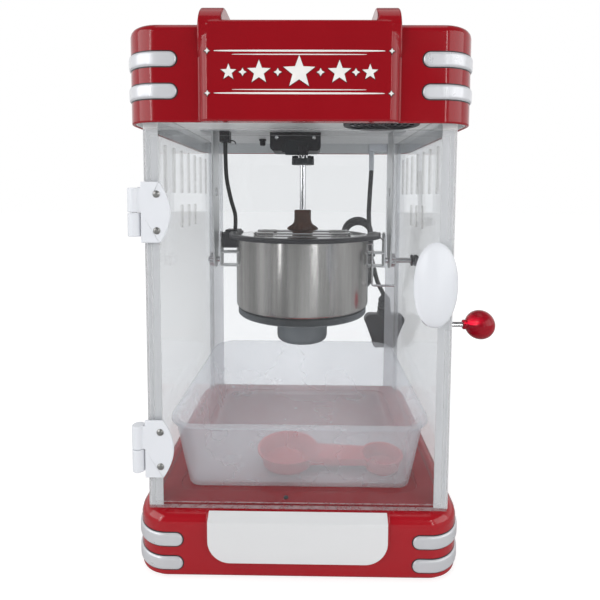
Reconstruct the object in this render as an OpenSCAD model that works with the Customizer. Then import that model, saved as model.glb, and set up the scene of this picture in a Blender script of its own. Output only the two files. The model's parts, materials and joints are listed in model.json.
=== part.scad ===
// Table-top kettle popcorn machine: clear cabinet, hanging kettle, hinged door, popcorn tub.
// Millimetres. Z is up, the door faces -Y, origin at the middle of the footprint on the table.

/* [Base] */
// how far the base stands out past the posts at each side
base_out = 11; // [6:0.5:30]
// how far the base stands out past the posts at front and back
base_out_y = 10.5; // [6:0.5:30]
// height of the base top above the table
base_top = 58; // [48:0.1:90]
// radius of the upright corners of base and head
corner_r = 28; // [18:1:40]
// wall thickness of the base and head mouldings
wall = 3; // [2:0.5:5]
// height of the rubber feet below the base
foot_h = 4; // [2:0.5:10]
// foot radius
foot_r = 9; // [6:0.5:14]

/* [Cabinet] */
// width over the corner posts
cab_w = 257; // [230:0.1:320]
// depth over the corner posts
cab_d = 251; // [220:0.1:310]
// height of the cabinet, from the base top to the ceiling plate
cab_h = 339; // [300:0.1:420]
// leg of the angle section used for the front posts
post_leg = 12; // [8:1:20]
// leg of the angle section used for the rear posts
rear_leg = 16; // [8:1:24]
// thickness of the post metal
post_t = 1.5; // [1:0.1:3]
// thickness of the clear side and back panels
panel_t = 2; // [1.5:0.5:4]
// number of vent slots in each side panel
slot_n = 7; // [3:1:8]
// distance between vent slots
slot_pitch = 26.5; // [18:0.5:30]
// width of a vent slot
slot_w = 5; // [3:0.5:8]
// length of the long vent slots
slot_len = 44; // [20:1:70]

/* [Head] */
// how far the head stands out past the posts at each side
head_out = 13.5; // [8:0.5:30]
// how far the head stands out past the posts at front and back
head_out_y = 10.5; // [8:0.5:30]
// how far the head's skirt reaches below the ceiling plate
skirt = 13.4; // [8:0.2:20]
// height of the head, from its lower edge to its flat top
head_h = 77.4; // [60:0.1:110]
// width of the raised centre of the head
hood_w = 157.5; // [120:0.5:200]
// how far the raised centre stands out at the front
hood_out = 8; // [3:0.5:20]
// width of the two ribs on top
rib_w = 18.5; // [10:0.5:30]
// height of the ribs above the head's top
rib_h = 15.5; // [6:0.5:30]
// height of one silver band
band_h = 11.5; // [6:0.5:16]
// how far a band stands off the moulding
band_t = 1.6; // [0.8:0.2:3]
// where the bands end on the front, measured from the middle
band_x = 97; // [80:1:115]
// where the bands end on the sides, measured from the front face
band_y = 62; // [45:1:90]

/* [Door] */
// how far the door stops short of the cabinet's side faces
door_inset = 2; // [0.5:0.5:6]
// gap between the base top and the door
door_gap = 1.4; // [0.5:0.1:6]
// gap between the door and the head's lower edge
door_gap_t = 4.4; // [1:0.1:12]
// thickness of the clear door
door_t = 3; // [2:0.5:5]
// width of the raised edge round the door
lip_w = 5; // [3:0.5:9]
// distance of the hinge axis outside the cabinet side
hinge_out = 7.3; // [6.2:0.1:12]
// radius of a hinge barrel
barrel_r = 5.3; // [4:0.1:6]
// radius of the hinge pin
hpin_r = 2; // [1.5:0.1:3]
// running clearance of pins in their bores, on the radius
run_c = 0.05; // [0.02:0.01:0.1]
// half the length of a hinge barrel
barrel_l = 20; // [14:0.5:30]
// distance of the upper hinge below the door's upper edge
hinge_down = 67.7; // [40:0.1:120]
// distance of the lower hinge above the door's lower edge
hinge_up = 51.6; // [35:0.1:120]
// half height of the white hinge leaf
leaf_h = 25; // [18:0.5:32]
// length of the white oval door knob
knob_l = 71; // [50:1:90]
// width of the knob
knob_w = 36; // [25:1:46]
// how far the knob stands out
knob_t = 12; // [8:0.5:18]
// distance of the knob's centre from the door's free edge
knob_in = 14.1; // [13.5:0.1:40]
// height of the knob's centre above the door's lower edge
knob_up = 193.6; // [100:0.1:260]

/* [Kettle] */
// distance of the kettle's axis behind the middle of the cabinet
kettle_y = 12; // [0:1:16]
// outer radius of the steel pot
pot_r = 74; // [60:0.5:76]
// height of the steel pot
pot_h = 78.5; // [60:0.1:95]
// height of the pot's top above the tilting axis
pot_up = 28; // [20:0.5:34]
// sheet thickness of the pot
pot_t = 1.6; // [1:0.1:3]
// distance of the tilting axis below the ceiling plate
pivot_drop = 143.5; // [125:0.1:175]
// radius of the tilting axle
axle_r = 3; // [2:0.1:5]
// gap between the rim handle and the middle of a hanger strap
hang_out = 16.5; // [14:0.5:24]
// how far the black rim handle stands out past the pot
rim_out = 8; // [5:0.1:12]
// how far the heater housing is set in from the pot
heat_in = 2; // [0:0.1:12]
// radius of the heater cap
cap_r = 31; // [22:0.5:40]
// depth of the heater cap's underside below the pot
cap_drop = 44; // [36:0.1:58]
// half width of the fixed bridge across the kettle top
bridge_y = 17; // [14:0.5:24]

/* [Drive] */
// radius of the stirring rod
rod_r = 3.5; // [2.5:0.1:5]
// outer radius of the crown gear on the rod
crown_r = 12.5; // [11:0.1:14]
// distance of the crown gear's tooth tips below the ceiling plate
crown_drop = 27; // [24:0.5:40]
// number of crown teeth
crown_n = 12; // [12:12:12]
// tip radius of the drive gear
drive_r = 7.6; // [7:0.1:8.2]
// number of teeth of the drive gear
drive_n = 8; // [8:8:8]
// radius of the drive axle
daxle_r = 2.5; // [1.5:0.1:3]
// depth of tooth engagement
mesh_d = 2; // [1:0.1:2.4]

/* [Lever] */
// drop of the dump handle below the axle
lever_drop = 73.5; // [50:0.5:90]
// distance of the crank outside the cabinet side
crank_out = 10.5; // [8:0.5:24]
// distance of the ball's centre from the crank
handle_l = 64; // [40:0.1:90]
// radius of the red ball
ball_r = 16.5; // [10:0.5:20]

/* [Tub] */
// gap between the tub's wall at the rim and the cabinet's outer face at each side
tub_gap = 13.5; // [10:0.5:40]
// gap between the tub's wall at the rim and the cabinet's outer face, front and back
tub_gap_y = 10.5; // [9.5:0.5:40]
// height of the tub
tub_h = 65.5; // [40:0.1:90]
// how far the tub's wall leans in over its height
tub_in = 13; // [6:0.5:18]
// wall thickness of the tub
tub_t = 2; // [1.2:0.1:3]
// width of the rolled edge
tub_edge = 3; // [2:0.5:4]

/* [Scoop] */
// radius of the large cup
cup_r = 30; // [20:0.5:36]
// height of the large cup
cup_h = 15; // [10:0.5:40]
// radius of the small cup
cup2_r = 20.5; // [12:0.5:26]
// height of the small cup
cup2_h = 13.5; // [9:0.5:30]
// distance between the two cups
cup_gap = 92; // [80:1:110]
// width of the handle between the cups
bar_w = 26; // [12:1:30]

/* [Cords] */
// radius of the mains cord
cord_r = 3.1; // [2.5:0.1:4]
// radius of the heater cable
cable_r = 2.3; // [1.5:0.1:3.5]
// distance from the left hanger strap to the clip of the heater cable
clip_in = 11.5; // [9:0.5:20]

/* [Hidden] */

$fn = 64;
RED = [0.52, 0.02, 0.06];
STEEL = [0.72, 0.73, 0.74];
BLACK = [0.1, 0.1, 0.11];
WHITE = [0.86, 0.87, 0.9];
CLEAR = [0.85, 0.9, 0.92, 0.35];

cab_x = cab_w / 2;
cab_y = cab_d / 2;
base_w = cab_w + 2 * base_out;
base_d = cab_d + 2 * base_out_y;
ceil_z = base_top + cab_h;
head_w = cab_w + 2 * head_out;
head_d = cab_d + 2 * head_out_y;
head_z0 = ceil_z - skirt;
head_z1 = head_z0 + head_h;
face_y = -base_d / 2;
head_y = -head_d / 2;
hood_y = head_y - hood_out;
side_x = cab_x - post_t - 0.2 - panel_t / 2;
back_y = cab_y - post_t - 0.2 - panel_t / 2;
hinge_x = -(cab_x + hinge_out);
door_w = cab_w - 2 * door_inset;
door_z0 = base_top + door_gap;
door_z1 = head_z0 - door_gap_t;
hinge_hi = door_z1 - hinge_down;
hinge_lo = door_z0 + hinge_up;
knob_x = door_w / 2 - knob_in;
knob_z = door_z0 + knob_up;
leaf_x = -cab_x + 12.1;
door_y = -cab_y - 0.5 - door_t;
hinge_y = door_y + 1;
leaf_y = door_y - 2.2;
switch_x = -70;
switch_z = head_z0 + 44.4;
gland_x = 92;
gland_y = cab_y + 3.8;
pivot_z = ceil_z - pivot_drop;
pot_z1 = pivot_z + pot_up;
pot_z0 = pot_z1 - pot_h;
rim_r = pot_r + rim_out;
heat_r = pot_r - heat_in;
heat_z = pot_z0 - 12.5;
cap_z0 = pot_z0 - cap_drop;
cap_z1 = pot_z0 - 27.5;
hang_x = rim_r + hang_out;
ear_x = pot_r + 17;
crank_x = cab_x + crank_out;
ball_x = crank_x + handle_l;
lever_z = pivot_z - lever_drop;
crown_z = ceil_z - crown_drop;
drive_y = kettle_y - (crown_r + 7.5) / 2;
drive_z = crown_z - mesh_d + drive_r;
flap_y = bridge_y + 2.5;
flap_z = pot_z1 + 2.8;
tub_w = cab_w - 2 * tub_gap;
tub_d = cab_d - 2 * tub_gap_y;
tub_z0 = base_top + 1.5;
tub_z1 = tub_z0 + tub_h;

// plan of a rectangle with round corners
module rrect(w, d, r) {
    square([w - 2 * r, d], center = true);
    square([w, d - 2 * r], center = true);
    for (sx = [-1, 1], sy = [-1, 1])
        translate([sx * (w / 2 - r), sy * (d / 2 - r)]) circle(r);
}

// upright block with round corners whose wall follows a list of [inset, height] points
module eased(w, d, r, prof) {
    n = len(prof);
    half = [for (p = prof) [r - p[0], p[1]]];
    for (sx = [-1, 1], sy = [-1, 1])
        translate([sx * (w / 2 - r), sy * (d / 2 - r), 0])
            rotate_extrude() polygon(concat([[0, prof[0][1]]], half, [[0, prof[n - 1][1]]]));
    section_x = concat([for (p = prof) [w / 2 - p[0], p[1]]],
        [for (i = [n - 1:-1:0]) [-w / 2 + prof[i][0], prof[i][1]]]);
    section_y = concat([for (p = prof) [d / 2 - p[0], p[1]]],
        [for (i = [n - 1:-1:0]) [-d / 2 + prof[i][0], prof[i][1]]]);
    rotate([90, 0, 0]) linear_extrude(d - 2 * r, center = true) polygon(section_x);
    rotate([90, 0, 90]) linear_extrude(w - 2 * r, center = true) polygon(section_y);
}

// profile of a rounded top edge, from height z0 up to z1 with edge radius e
function round_top(z0, z1, e) = concat([[0, z0]],
    [for (a = [0:22.5:90]) [e - e * cos(a), z1 - e + e * sin(a)]]);

// bar along x, y or z with its centre line from 0 to l
module bar_x(r, l) { rotate([0, 90, 0]) cylinder(r = r, h = l); }
module bar_y(r, l) { rotate([-90, 0, 0]) cylinder(r = r, h = l); }

// flat block given by its low and high corners
module span(a, b) { translate(a) cube(b - a); }

// silver bands round the corners at the given heights
module bands(w, d, r, heights) {
    for (z = heights) intersection() {
        translate([0, 0, z]) linear_extrude(band_h) difference() {
            rrect(w + 2 * band_t, d + 2 * band_t, r + band_t);
            rrect(w + 0.02, d + 0.02, r);
        }
        for (sx = [-1, 1], sy = [-1, 1]) scale([sx, sy, 1]) {
            span([band_x + band_h / 2, d / 2 - r - 1, z], [w, d, z + band_h]);
            span([w / 2 - 6, d / 2 - band_y + band_h / 2, z], [w, d / 2 - r, z + band_h]);
            translate([band_x + band_h / 2, d / 2 - 6, z + band_h / 2]) bar_y(band_h / 2, 20);
            translate([w / 2 - 6, d / 2 - band_y + band_h / 2, z + band_h / 2])
                bar_x(band_h / 2, 20);
        }
    }
}

// recessed plinth rim that the base stands on, joined to the wall by a narrow flange
module plinth() {
    inner = 2 * (4 + wall) + 1;
    linear_extrude(foot_h + 1.6) difference() {
        rrect(base_w - 8, base_d - 8, corner_r - 4);
        rrect(base_w - inner, base_d - inner, corner_r - inner / 2);
    }
    translate([0, 0, foot_h]) linear_extrude(1.6) difference() {
        rrect(base_w - 1, base_d - 1, corner_r - 0.5);
        rrect(base_w - inner, base_d - inner, corner_r - inner / 2);
    }
}

// base moulding, open underneath, with a sloping shoulder and a raised front field
module base_shell() color(RED) { plinth(); base_wall(); }
module base_wall() difference() {
    union() {
        eased(base_w, base_d, corner_r, [[0, foot_h], [0, base_top - 10.5], [1.2, base_top - 6],
            [4.5, base_top - 2.2], [10, base_top]]);
        // raised field that carries the plate, with a leaning top
        intersection() {
            translate([0, face_y - 2.4, 0]) rotate([-90, 0, 0]) translate([0, 0, 0])
                linear_extrude(12) mirror([0, 1]) plate_outline(1.2);
            rotate([90, 0, 90]) linear_extrude(200, center = true)
                polygon([[face_y - 2.4, 0], [face_y + 9.6, 0], [face_y + 9.6, base_top - 0.4],
                    [face_y + 3.4, base_top - 0.6], [face_y - 2.4, base_top - 5.5]]);
        }
    }
    translate([0, 0, foot_h - 1])
        linear_extrude(base_top - foot_h + 1 - wall) rrect(base_w - 22, base_d - 22, 17);
    translate([0, 0, foot_h - 1]) linear_extrude(base_top - foot_h - 10 - wall)
        rrect(base_w - 2 * wall, base_d - 2 * wall, corner_r - wall);
}

// front outline of the plate: small top corners, wide round lower corners
module plate_outline(grow) {
    hw = 75.4 + grow;
    lo = 18 - grow;
    hi = base_top + 1 + grow;
    r = 19 + grow;
    translate([-hw + r, lo]) square([2 * hw - 2 * r, hi - lo]);
    translate([-hw, lo + r]) square([2 * hw, hi - lo - r]);
    for (s = [-1, 1]) translate([s * (hw - r), lo + r]) circle(r);
}

// bare silver plate bent back along its upper edge
module nameplate() color(STEEL) intersection() {
    translate([0, face_y - 6, 0]) rotate([-90, 0, 0]) linear_extrude(20)
        mirror([0, 1]) plate_outline(0);
    rotate([90, 0, 90]) linear_extrude(200, center = true)
        polygon([[face_y - 2.4, 0], [face_y - 2.4, base_top - 5.5],
            [face_y + 3.4, base_top - 0.6], [face_y + 3.4, base_top + 0.9],
            [face_y - 4, base_top - 5], [face_y - 4, 0]]);
}

module base_bands() color(STEEL) bands(base_w, base_d, corner_r,
    [foot_h + 5, foot_h + 25.7]);
module head_bands() color(STEEL) bands(head_w, head_d, corner_r,
    [head_z0 + 18.4, head_z0 + 43.4]);

// black sheet that closes the base, with slots under the deck
module bottom_plate() color(BLACK) difference() {
    translate([0, 0, foot_h + 0.2]) linear_extrude(1.6)
        rrect(base_w - 15.6, base_d - 15.6, corner_r - 7.8);
    for (i = [-3:3]) translate([i * 14, 40, 0]) linear_extrude(20) {
        square([4, 50], center = true);
        for (s = [-1, 1]) translate([0, s * 25]) circle(2);
    }
}

// rubber feet with a recessed middle
module feet() color(BLACK) for (sx = [-1, 1], sy = [-1, 1])
    translate([sx * (base_w / 2 - 27), sy * (base_d / 2 - 27), 0]) difference() {
        rotate_extrude() polygon([[0, 0], [foot_r - 1.5, 0], [foot_r, 1.5],
            [foot_r, foot_h + 0.2], [0, foot_h + 0.2]]);
        translate([0, 0, -1]) cylinder(r = foot_r - 4.5, h = 2.6);
    }

// pressed floor with a raised frame and a shallow field for the tub
module cabinet_floor() color(RED) difference() {
    span([-side_x + 1.3, -cab_y + 2, base_top], [side_x - 1.3, back_y - 1.3, base_top + 2.4]);
    translate([0, -1, base_top + 1.2]) linear_extrude(5) rrect(tub_w - 12, tub_d - 16, 14);
}

// angle posts, legs along x and y
module post(leg) {
    linear_extrude(ceil_z - base_top) difference() {
        square([leg, leg]);
        translate([-1, -1]) square([leg - post_t + 1, leg - post_t + 1]);
    }
}
module front_posts() color(STEEL) for (s = [-1, 1])
    translate([0, 0, base_top]) scale([s, -1, 1])
        translate([cab_x - post_leg, cab_y - post_leg, 0]) post(post_leg);
module rear_posts() color(STEEL) for (s = [-1, 1])
    translate([0, 0, base_top]) scale([s, 1, 1])
        translate([cab_x - rear_leg, cab_y - rear_leg, 0]) post(rear_leg);

// outline of one upright slot with round ends, drawn in the yz plane
module slot(y, z0, z1) {
    translate([0, y, z0 + slot_w / 2]) bar_x(slot_w / 2, 20);
    translate([0, y, z1 - slot_w / 2]) bar_x(slot_w / 2, 20);
    span([0, y - slot_w / 2, z0 + slot_w / 2], [20, y + slot_w / 2, z1 - slot_w / 2]);
}

// clear sides with vent slots; the right one lets the tilting axle out
module side_panels() color(CLEAR) for (s = [-1, 1]) difference() {
    translate([s * side_x, 0, 0]) span([-panel_t / 2, -cab_y + 1.8, base_top + 0.2],
        [panel_t / 2, back_y - 1.2, ceil_z - 0.2]);
    for (i = [0:slot_n - 1]) let (y = (i - (slot_n - 1) / 2) * slot_pitch + 1.5)
        translate([s * side_x - 10, 0, 0]) {
            slot(y, ceil_z - 25 - slot_len, ceil_z - 25);
            if (abs(i - (slot_n - 1) / 2) < 1.6)
                slot(y, ceil_z - 61 - slot_len, ceil_z - 81);
        }
    if (s > 0) translate([s * side_x - 5, kettle_y, pivot_z]) bar_x(5, 10);
}

module back_panel() color(CLEAR) translate([0, back_y, 0])
    span([-side_x + 1.2, -panel_t / 2, base_top + 0.2], [side_x - 1.2, panel_t / 2, ceil_z - 0.2]);

// ceiling plate with the opening for the lamp and fan grille
module ceiling_plate() color(WHITE) difference() {
    translate([0, 0, ceil_z]) linear_extrude(1.2)
        rrect(head_w - 2 * wall - 0.6, head_d - 2 * wall - 0.6, corner_r - wall - 0.3);
    translate([78, -48, ceil_z - 1]) cylinder(r = 33, h = 4);
}

// round black grille let into the ceiling: rings and spokes
module ceiling_vent() color(BLACK) translate([78, -48, 0]) {
    translate([0, 0, ceil_z - 2]) difference() {
        cylinder(r = 37, h = 2);
        translate([0, 0, -1]) cylinder(r = 31.5, h = 4);
    }
    translate([0, 0, ceil_z]) difference() {
        cylinder(r = 32.8, h = 2.5);
        translate([0, 0, -1]) cylinder(r = 31.5, h = 5);
    }
    for (r = [7:6:27]) translate([0, 0, ceil_z - 1.6]) difference() {
        cylinder(r = r + 2.2, h = 2);
        translate([0, 0, -1]) cylinder(r = r, h = 4);
    }
    for (a = [0:60:179]) rotate(a) span([-32, -1.5, ceil_z - 1.6], [32, 1.5, ceil_z + 0.8]);
}

// one of the two ribs on top of the head, a rounded nose at the front
module rib() rotate([90, 0, 90]) linear_extrude(rib_w, center = true) {
    top = head_z1 + rib_h;
    translate([hood_y + 24, top - 24]) circle(24);
    translate([hood_y + 24, top - 48]) square([200, 48]);
    translate([hood_y + 24 + 200, top - 14]) circle(14);
    translate([hood_y + 24 + 190, top - 40]) square([24, 26]);
}

// head moulding: hollow underneath, raised centre, two ribs, cut-outs at the rear
module head_shell() color(RED) difference() {
    union() {
        eased(head_w, head_d, corner_r, round_top(head_z0, head_z1, 7));
        translate([0, -44, 0]) eased(hood_w, 2 * (-hood_y - 44), 9,
            round_top(head_z0, head_z1, 4));
        for (s = [-1, 1]) translate([s * (hood_w - rib_w) / 2, 0, 0]) rib();
    }
    translate([0, 0, head_z0 - 1]) linear_extrude(head_z1 - head_z0 + 1 - wall - 3)
        rrect(head_w - 2 * wall, head_d - 2 * wall, corner_r - wall);
    // window for the rocker switch
    translate([switch_x, head_d / 2, switch_z]) cube([21.4, 20, 14.4], center = true);
    // rear vent slots
    for (i = [0:5]) translate([20 + i * 10, head_d / 2, head_z0 + 40.4]) {
        cube([4, 20, 24], center = true);
        for (s = [-1, 1]) translate([0, -10, s * 12]) bar_y(2, 20);
    }
}

// black motor housing with round lower corners and cooling grooves
module motor_housing() color(BLACK) translate([-8.7, 0, 0]) difference() {
    translate([0, 60, 0]) rotate([90, 0, 0]) linear_extrude(46) {
        translate([-28.6, ceil_z - 15.6]) square([57.2, 15.6]);
        translate([-23.6, ceil_z - 20.6]) square([47.2, 10]);
        for (s = [-1, 1]) translate([s * 23.6, ceil_z - 15.6]) circle(5);
    }
    for (s = [-1, 1], i = [0:3]) translate([s * 33.7, 23.5 + i * 9, ceil_z - 8.5])
        cube([12.6, 3, 11], center = true);
}

// bearing block in front of the motor that carries the drive axle
module gear_bracket() color([0.2, 0.21, 0.2]) difference() {
    union() {
        span([-19.5, drive_y + 4, crown_z + 1.3], [6, 13.9, ceil_z - 9]);
        translate([0, drive_y + 4, drive_z]) bar_y(6.5, 13.9 - drive_y - 4);
        span([-23.5, drive_y + 8, crown_z + 4], [-19.5, 13.9, crown_z + 14]);
    }
    translate([0, drive_y, drive_z]) bar_y(daxle_r + run_c, 40);
    span([-30, drive_y - 9, crown_z - 10], [30, 40, crown_z + 1.3]);
}

// straps that hang the kettle from the ceiling, each with a folded foot
module hanger_straps() color(STEEL) for (s = [-1, 1]) difference() {
    translate([s * hang_x, kettle_y, 0]) {
        rotate([90, 0, 90]) linear_extrude(2, center = true) {
            translate([0, pivot_z]) circle(9);
            polygon([[-9, pivot_z], [9, pivot_z], [15, pivot_z + 40], [15, ceil_z],
                [-15, ceil_z], [-15, pivot_z + 40]]);
        }
        translate([s * 6, 0, ceil_z - 1]) cube([14, 30, 2], center = true);
    }
    translate([s * hang_x - 5, kettle_y, pivot_z]) bar_x(axle_r + run_c, 10);
    translate([s * hang_x - 5, kettle_y, pivot_z + 76.5]) bar_x(5, 10);
}

// flanged bush in the right panel
module lever_bush() color(BLACK) difference() {
    union() {
        translate([side_x - panel_t / 2 - 1.4, kettle_y, pivot_z]) bar_x(4.9, panel_t + 6);
        translate([side_x + panel_t / 2, kettle_y, pivot_z]) bar_x(6.5, 3.2);
        translate([side_x - panel_t / 2 - 1.6, kettle_y, pivot_z]) bar_x(6.5, 1.6);
    }
    translate([side_x - 20, kettle_y, pivot_z]) bar_x(axle_r + run_c, 40);
}

// frame of the rocker switch on the rear of the head
module switch_bezel() color(BLACK) translate([switch_x, head_d / 2, switch_z]) difference() {
    union() {
        span([-14, 0.1, -10], [14, 1.7, 10]);
        span([-10.5, -9, -7], [10.5, 0.5, 7]);
    }
    span([-9, -8, -6.1], [9, 5, 6.1]);
    translate([-10.6, -3, 0]) bar_x(1.05, 21.2);
}

// rocker: two faces that meet in a shallow valley, on two short pins
module switch_rocker() color([0.16, 0.16, 0.17])
    translate([switch_x, head_d / 2, switch_z]) difference() {
    union() {
        rotate([90, 0, 90]) linear_extrude(17.2, center = true)
            polygon([[-4.5, -2.4], [-4.5, 2.4], [-1, 4.2], [3.4, 4.2], [2.1, 0], [1.7, -4.2],
                [-1, -4.2]]);
        translate([-10.3, -3, 0]) bar_x(1, 20.6);
    }
    translate([0, 2.3, 2.3]) bar_y(1.1, 3);
}

// white cord outlet under the ceiling with a tapered boot
module cord_gland() color(WHITE) {
    translate([gland_x, gland_y - 3.4, ceil_z - 10]) {
        span([-4, 0, 0], [20, 6.8, 10]);
    }
    translate([gland_x, gland_y, ceil_z - 10 - 26]) rotate_extrude() polygon([[cord_r, 0],
        [cord_r + 0.35, 0], [cord_r + 0.45, 22], [3.6, 26.1], [cord_r, 26.1]]);
    translate([gland_x, gland_y, ceil_z - 10]) cylinder(r = cord_r + 0.2, h = 1);
}

// small clip under the ceiling where the heater cable starts, with the tail of its tie
module cable_clip() color(BLACK) translate([clip_in - hang_x, kettle_y, 0]) {
    span([-5.5, -7, ceil_z - 12], [5.5, 7, ceil_z]);
    translate([7.6, 0, ceil_z - 14]) rotate([90, 0, 0]) rotate_extrude(angle = 145)
        translate([4, 0]) square([1.2, 3], center = true);
}

// fixed halves of the two door hinges
module body_hinge_leaves() color(WHITE) for (z = [hinge_hi, hinge_lo]) difference() {
    union() {
        translate([hinge_x, hinge_y, z - barrel_l]) cylinder(r = barrel_r, h = barrel_l - 0.4);
        span([hinge_x, hinge_y + 2, z - barrel_l], [-cab_x - 0.05, hinge_y + 5.3, z - 0.4]);
        span([-cab_x - 2.2, hinge_y + 4, z - barrel_l], [-cab_x - 0.05, -cab_y + 24, z + 14]);
    }
    translate([hinge_x, hinge_y, z - barrel_l + 3]) cylinder(r = hpin_r, h = barrel_l);
    for (s = [-1, 1]) translate([-cab_x - 5, -cab_y + 15, z - 3 + s * 10]) bar_x(1.6, 10);
}

// pins, pressed into the fixed half and turning in the door half
module hinge_pins() color(STEEL) for (z = [hinge_hi, hinge_lo])
    translate([hinge_x, hinge_y, z - barrel_l + 3]) cylinder(r = hpin_r, h = 2 * barrel_l - 6.2);

// round-headed screw along +y, head to the front
module screw(l) {
    intersection() {
        translate([0, -1.4, 0]) bar_y(3.2, 1.4);
        translate([0, 2.6, 0]) sphere(4.1);
    }
    bar_y(1.5, l);
}
module body_screws() color(STEEL) for (z = [hinge_hi, hinge_lo], s = [-1, 1])
    translate([-cab_x - 2.2, -cab_y + 15, z - 3 + s * 10]) rotate(-90) screw(2.1);

// clear door with a raised edge, screw holes and the knob's hole
module door_panel() color(CLEAR) difference() {
    union() {
        span([-door_w / 2, door_y, door_z0], [door_w / 2, door_y + door_t, door_z1]);
        difference() {
            span([-door_w / 2, door_y - 1.5, door_z0], [door_w / 2, door_y + 1, door_z1]);
            span([-door_w / 2 + lip_w, door_y - 5, door_z0 + lip_w],
                [door_w / 2 - lip_w, door_y + 5, door_z1 - lip_w]);
            for (z = [hinge_hi, hinge_lo])
                span([-door_w, door_y - 5, z - leaf_h - 1], [0, door_y, z + leaf_h + 1]);
            span([0, door_y - 5, knob_z - knob_l / 2 - 2],
                [door_w, door_y, knob_z + knob_l / 2 + 2]);
        }
    }
    for (z = [hinge_hi, hinge_lo], s = [-1, 1])
        translate([leaf_x, door_y - 5, z + s * 15]) bar_y(1.6, 12);
    translate([knob_x, door_y - 5, knob_z]) bar_y(2.1, 12);
}

// door halves of the hinges: rounded white leaf with a barrel
module door_hinge_leaves() color(WHITE) for (z = [hinge_hi, hinge_lo]) difference() {
    union() {
        translate([0, door_y - 0.05, z]) rotate([90, 0, 0]) linear_extrude(2.1) {
            translate([-cab_x - 1.1, -leaf_h]) square([12, 2 * leaf_h]);
            translate([-cab_x + 2, -leaf_h + 6]) square([14.5, 2 * leaf_h - 12]);
            for (s = [-1, 1]) translate([leaf_x - 1.2, s * (leaf_h - 10)]) circle(10);
            intersection() {
                translate([leaf_x - 3.8, 0]) circle(13.6);
                translate([-cab_x - 1.1, -20]) square([30, 40]);
            }
        }
        translate([hinge_x, hinge_y, z + 0.1]) cylinder(r = barrel_r, h = barrel_l);
        span([hinge_x, leaf_y + 0.05, z + 0.1], [-cab_x, door_y - 0.05, z + barrel_l]);
    }
    translate([hinge_x, hinge_y, z - 1]) cylinder(r = hpin_r + run_c, h = barrel_l - 1.6);
    for (s = [-1, 1]) translate([leaf_x, door_y - 5, z + s * 15]) bar_y(1.6, 12);
}
module door_screws() color(STEEL) for (z = [hinge_hi, hinge_lo], s = [-1, 1])
    translate([leaf_x, leaf_y + 0.05, z + s * 15]) screw(4.8);

// oval domed knob with its screw behind the door
module door_knob() color(WHITE) {
    intersection() {
        translate([knob_x, door_y - 0.05, knob_z]) rotate([90, 0, 0]) linear_extrude(knob_t)
            oval(knob_w, knob_l);
        translate([knob_x, door_y - knob_t + 60, knob_z]) sphere(60);
    }
    translate([knob_x, door_y - 1, knob_z]) bar_y(2, door_t + 1.2);
    translate([knob_x, door_y + door_t + 0.1, knob_z]) bar_y(3.4, 1.8);
}

// oval made of four arcs that meet smoothly
module oval(w, l) {
    re = w * 0.36;
    k = (l / 2 - re);
    big = (k * k + w * w / 4 - re * re) / (2 * (w / 2 - re));
    for (s = [-1, 1]) translate([0, s * k]) circle(re);
    intersection() {
        for (s = [1]) translate([w / 2 - big, 0]) circle(big, $fn = 200);
        translate([-w / 2 + big, 0]) circle(big, $fn = 200);
        square([w, 2 * k * big / (big - re)], center = true);
    }
}

// spun steel pot with a rounded lower corner and a rolled rim
module kettle_pot() color(STEEL) translate([0, kettle_y, 0]) {
    rotate_extrude() polygon([[0, pot_z0], [pot_r - 5, pot_z0], [pot_r - 1.5, pot_z0 + 1.5],
        [pot_r, pot_z0 + 5], [pot_r, pot_z1], [pot_r - 3, pot_z1], [pot_r - 3, pot_z1 - 1],
        [pot_r - pot_t, pot_z1 - 1.6], [pot_r - pot_t, pot_z0 + 6], [pot_r - 4, pot_z0 + 3],
        [pot_r - 7, pot_z0 + pot_t], [4, pot_z0 + pot_t], [4, pot_z0 + 3.6], [0, pot_z0 + 3.6]]);
}

// fixed bridge across the top of the pot, with lugs for the flap pins
module lid_bridge() color(STEEL) translate([0, kettle_y, 0]) difference() {
    union() {
        intersection() {
            span([-pot_r, -bridge_y, pot_z1], [pot_r, bridge_y, pot_z1 + 1.2]);
            cylinder(r = pot_r - 0.2, h = 400);
        }
        for (sx = [-1, 1], sy = [-1, 1]) {
            span([sx * 51 - 1, sy > 0 ? bridge_y - 4 : -flap_y - 2.2, pot_z1 + 1.6],
                [sx * 51 + 1, sy > 0 ? flap_y + 2.2 : -bridge_y + 4, flap_z + 2]);
            span([sx * 51 - 1, sy > 0 ? bridge_y - 4 : -bridge_y, pot_z1 + 1],
                [sx * 51 + 1, sy > 0 ? bridge_y : -bridge_y + 4, pot_z1 + 2]);
        }
    }
    for (s = [-1, 1]) translate([-60, s * flap_y, flap_z]) bar_x(1, 120);
    cylinder(r = rod_r + 0.6, h = 400);
}

// lid flap: part of a disc with two rolled eyes; drawn for the front, mirrored for the back
module flap() difference() {
    union() {
        intersection() {
            translate([0, 0, pot_z1 + 0.3]) cylinder(r = pot_r - 1.3, h = 1);
            span([-pot_r, -pot_r, 0], [pot_r, -flap_y + 0.8, 2 * pot_z1]);
        }
        for (s = [-1, 1]) translate([s * 40 - 9, -flap_y, flap_z]) bar_x(1.9, 18);
        for (s = [-1, 1])
            span([s * 40 - 9, -flap_y - 1.9, pot_z1 + 1], [s * 40 + 9, -flap_y + 0.6, flap_z]);
    }
    for (s = [-1, 1]) translate([s * 40 - 15, -flap_y, flap_z]) bar_x(1 + run_c, 30);
    // notches that let the flap swing past the lugs
    for (s = [-1, 1]) span([s * 51 - 1.6, -flap_y - 4.5, 0], [s * 51 + 1.6, 0, 2 * pot_z1]);
    for (s = [-1, 1], i = [0:2]) translate([s * (30 + i * 7), -38 - i * 2, 0])
        cylinder(r = 1.4, h = 400);
}
module lid_front() color(STEEL) translate([0, kettle_y, 0]) flap();
module lid_back() color(STEEL) translate([0, kettle_y, 0]) mirror([0, 1, 0]) flap();

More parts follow.
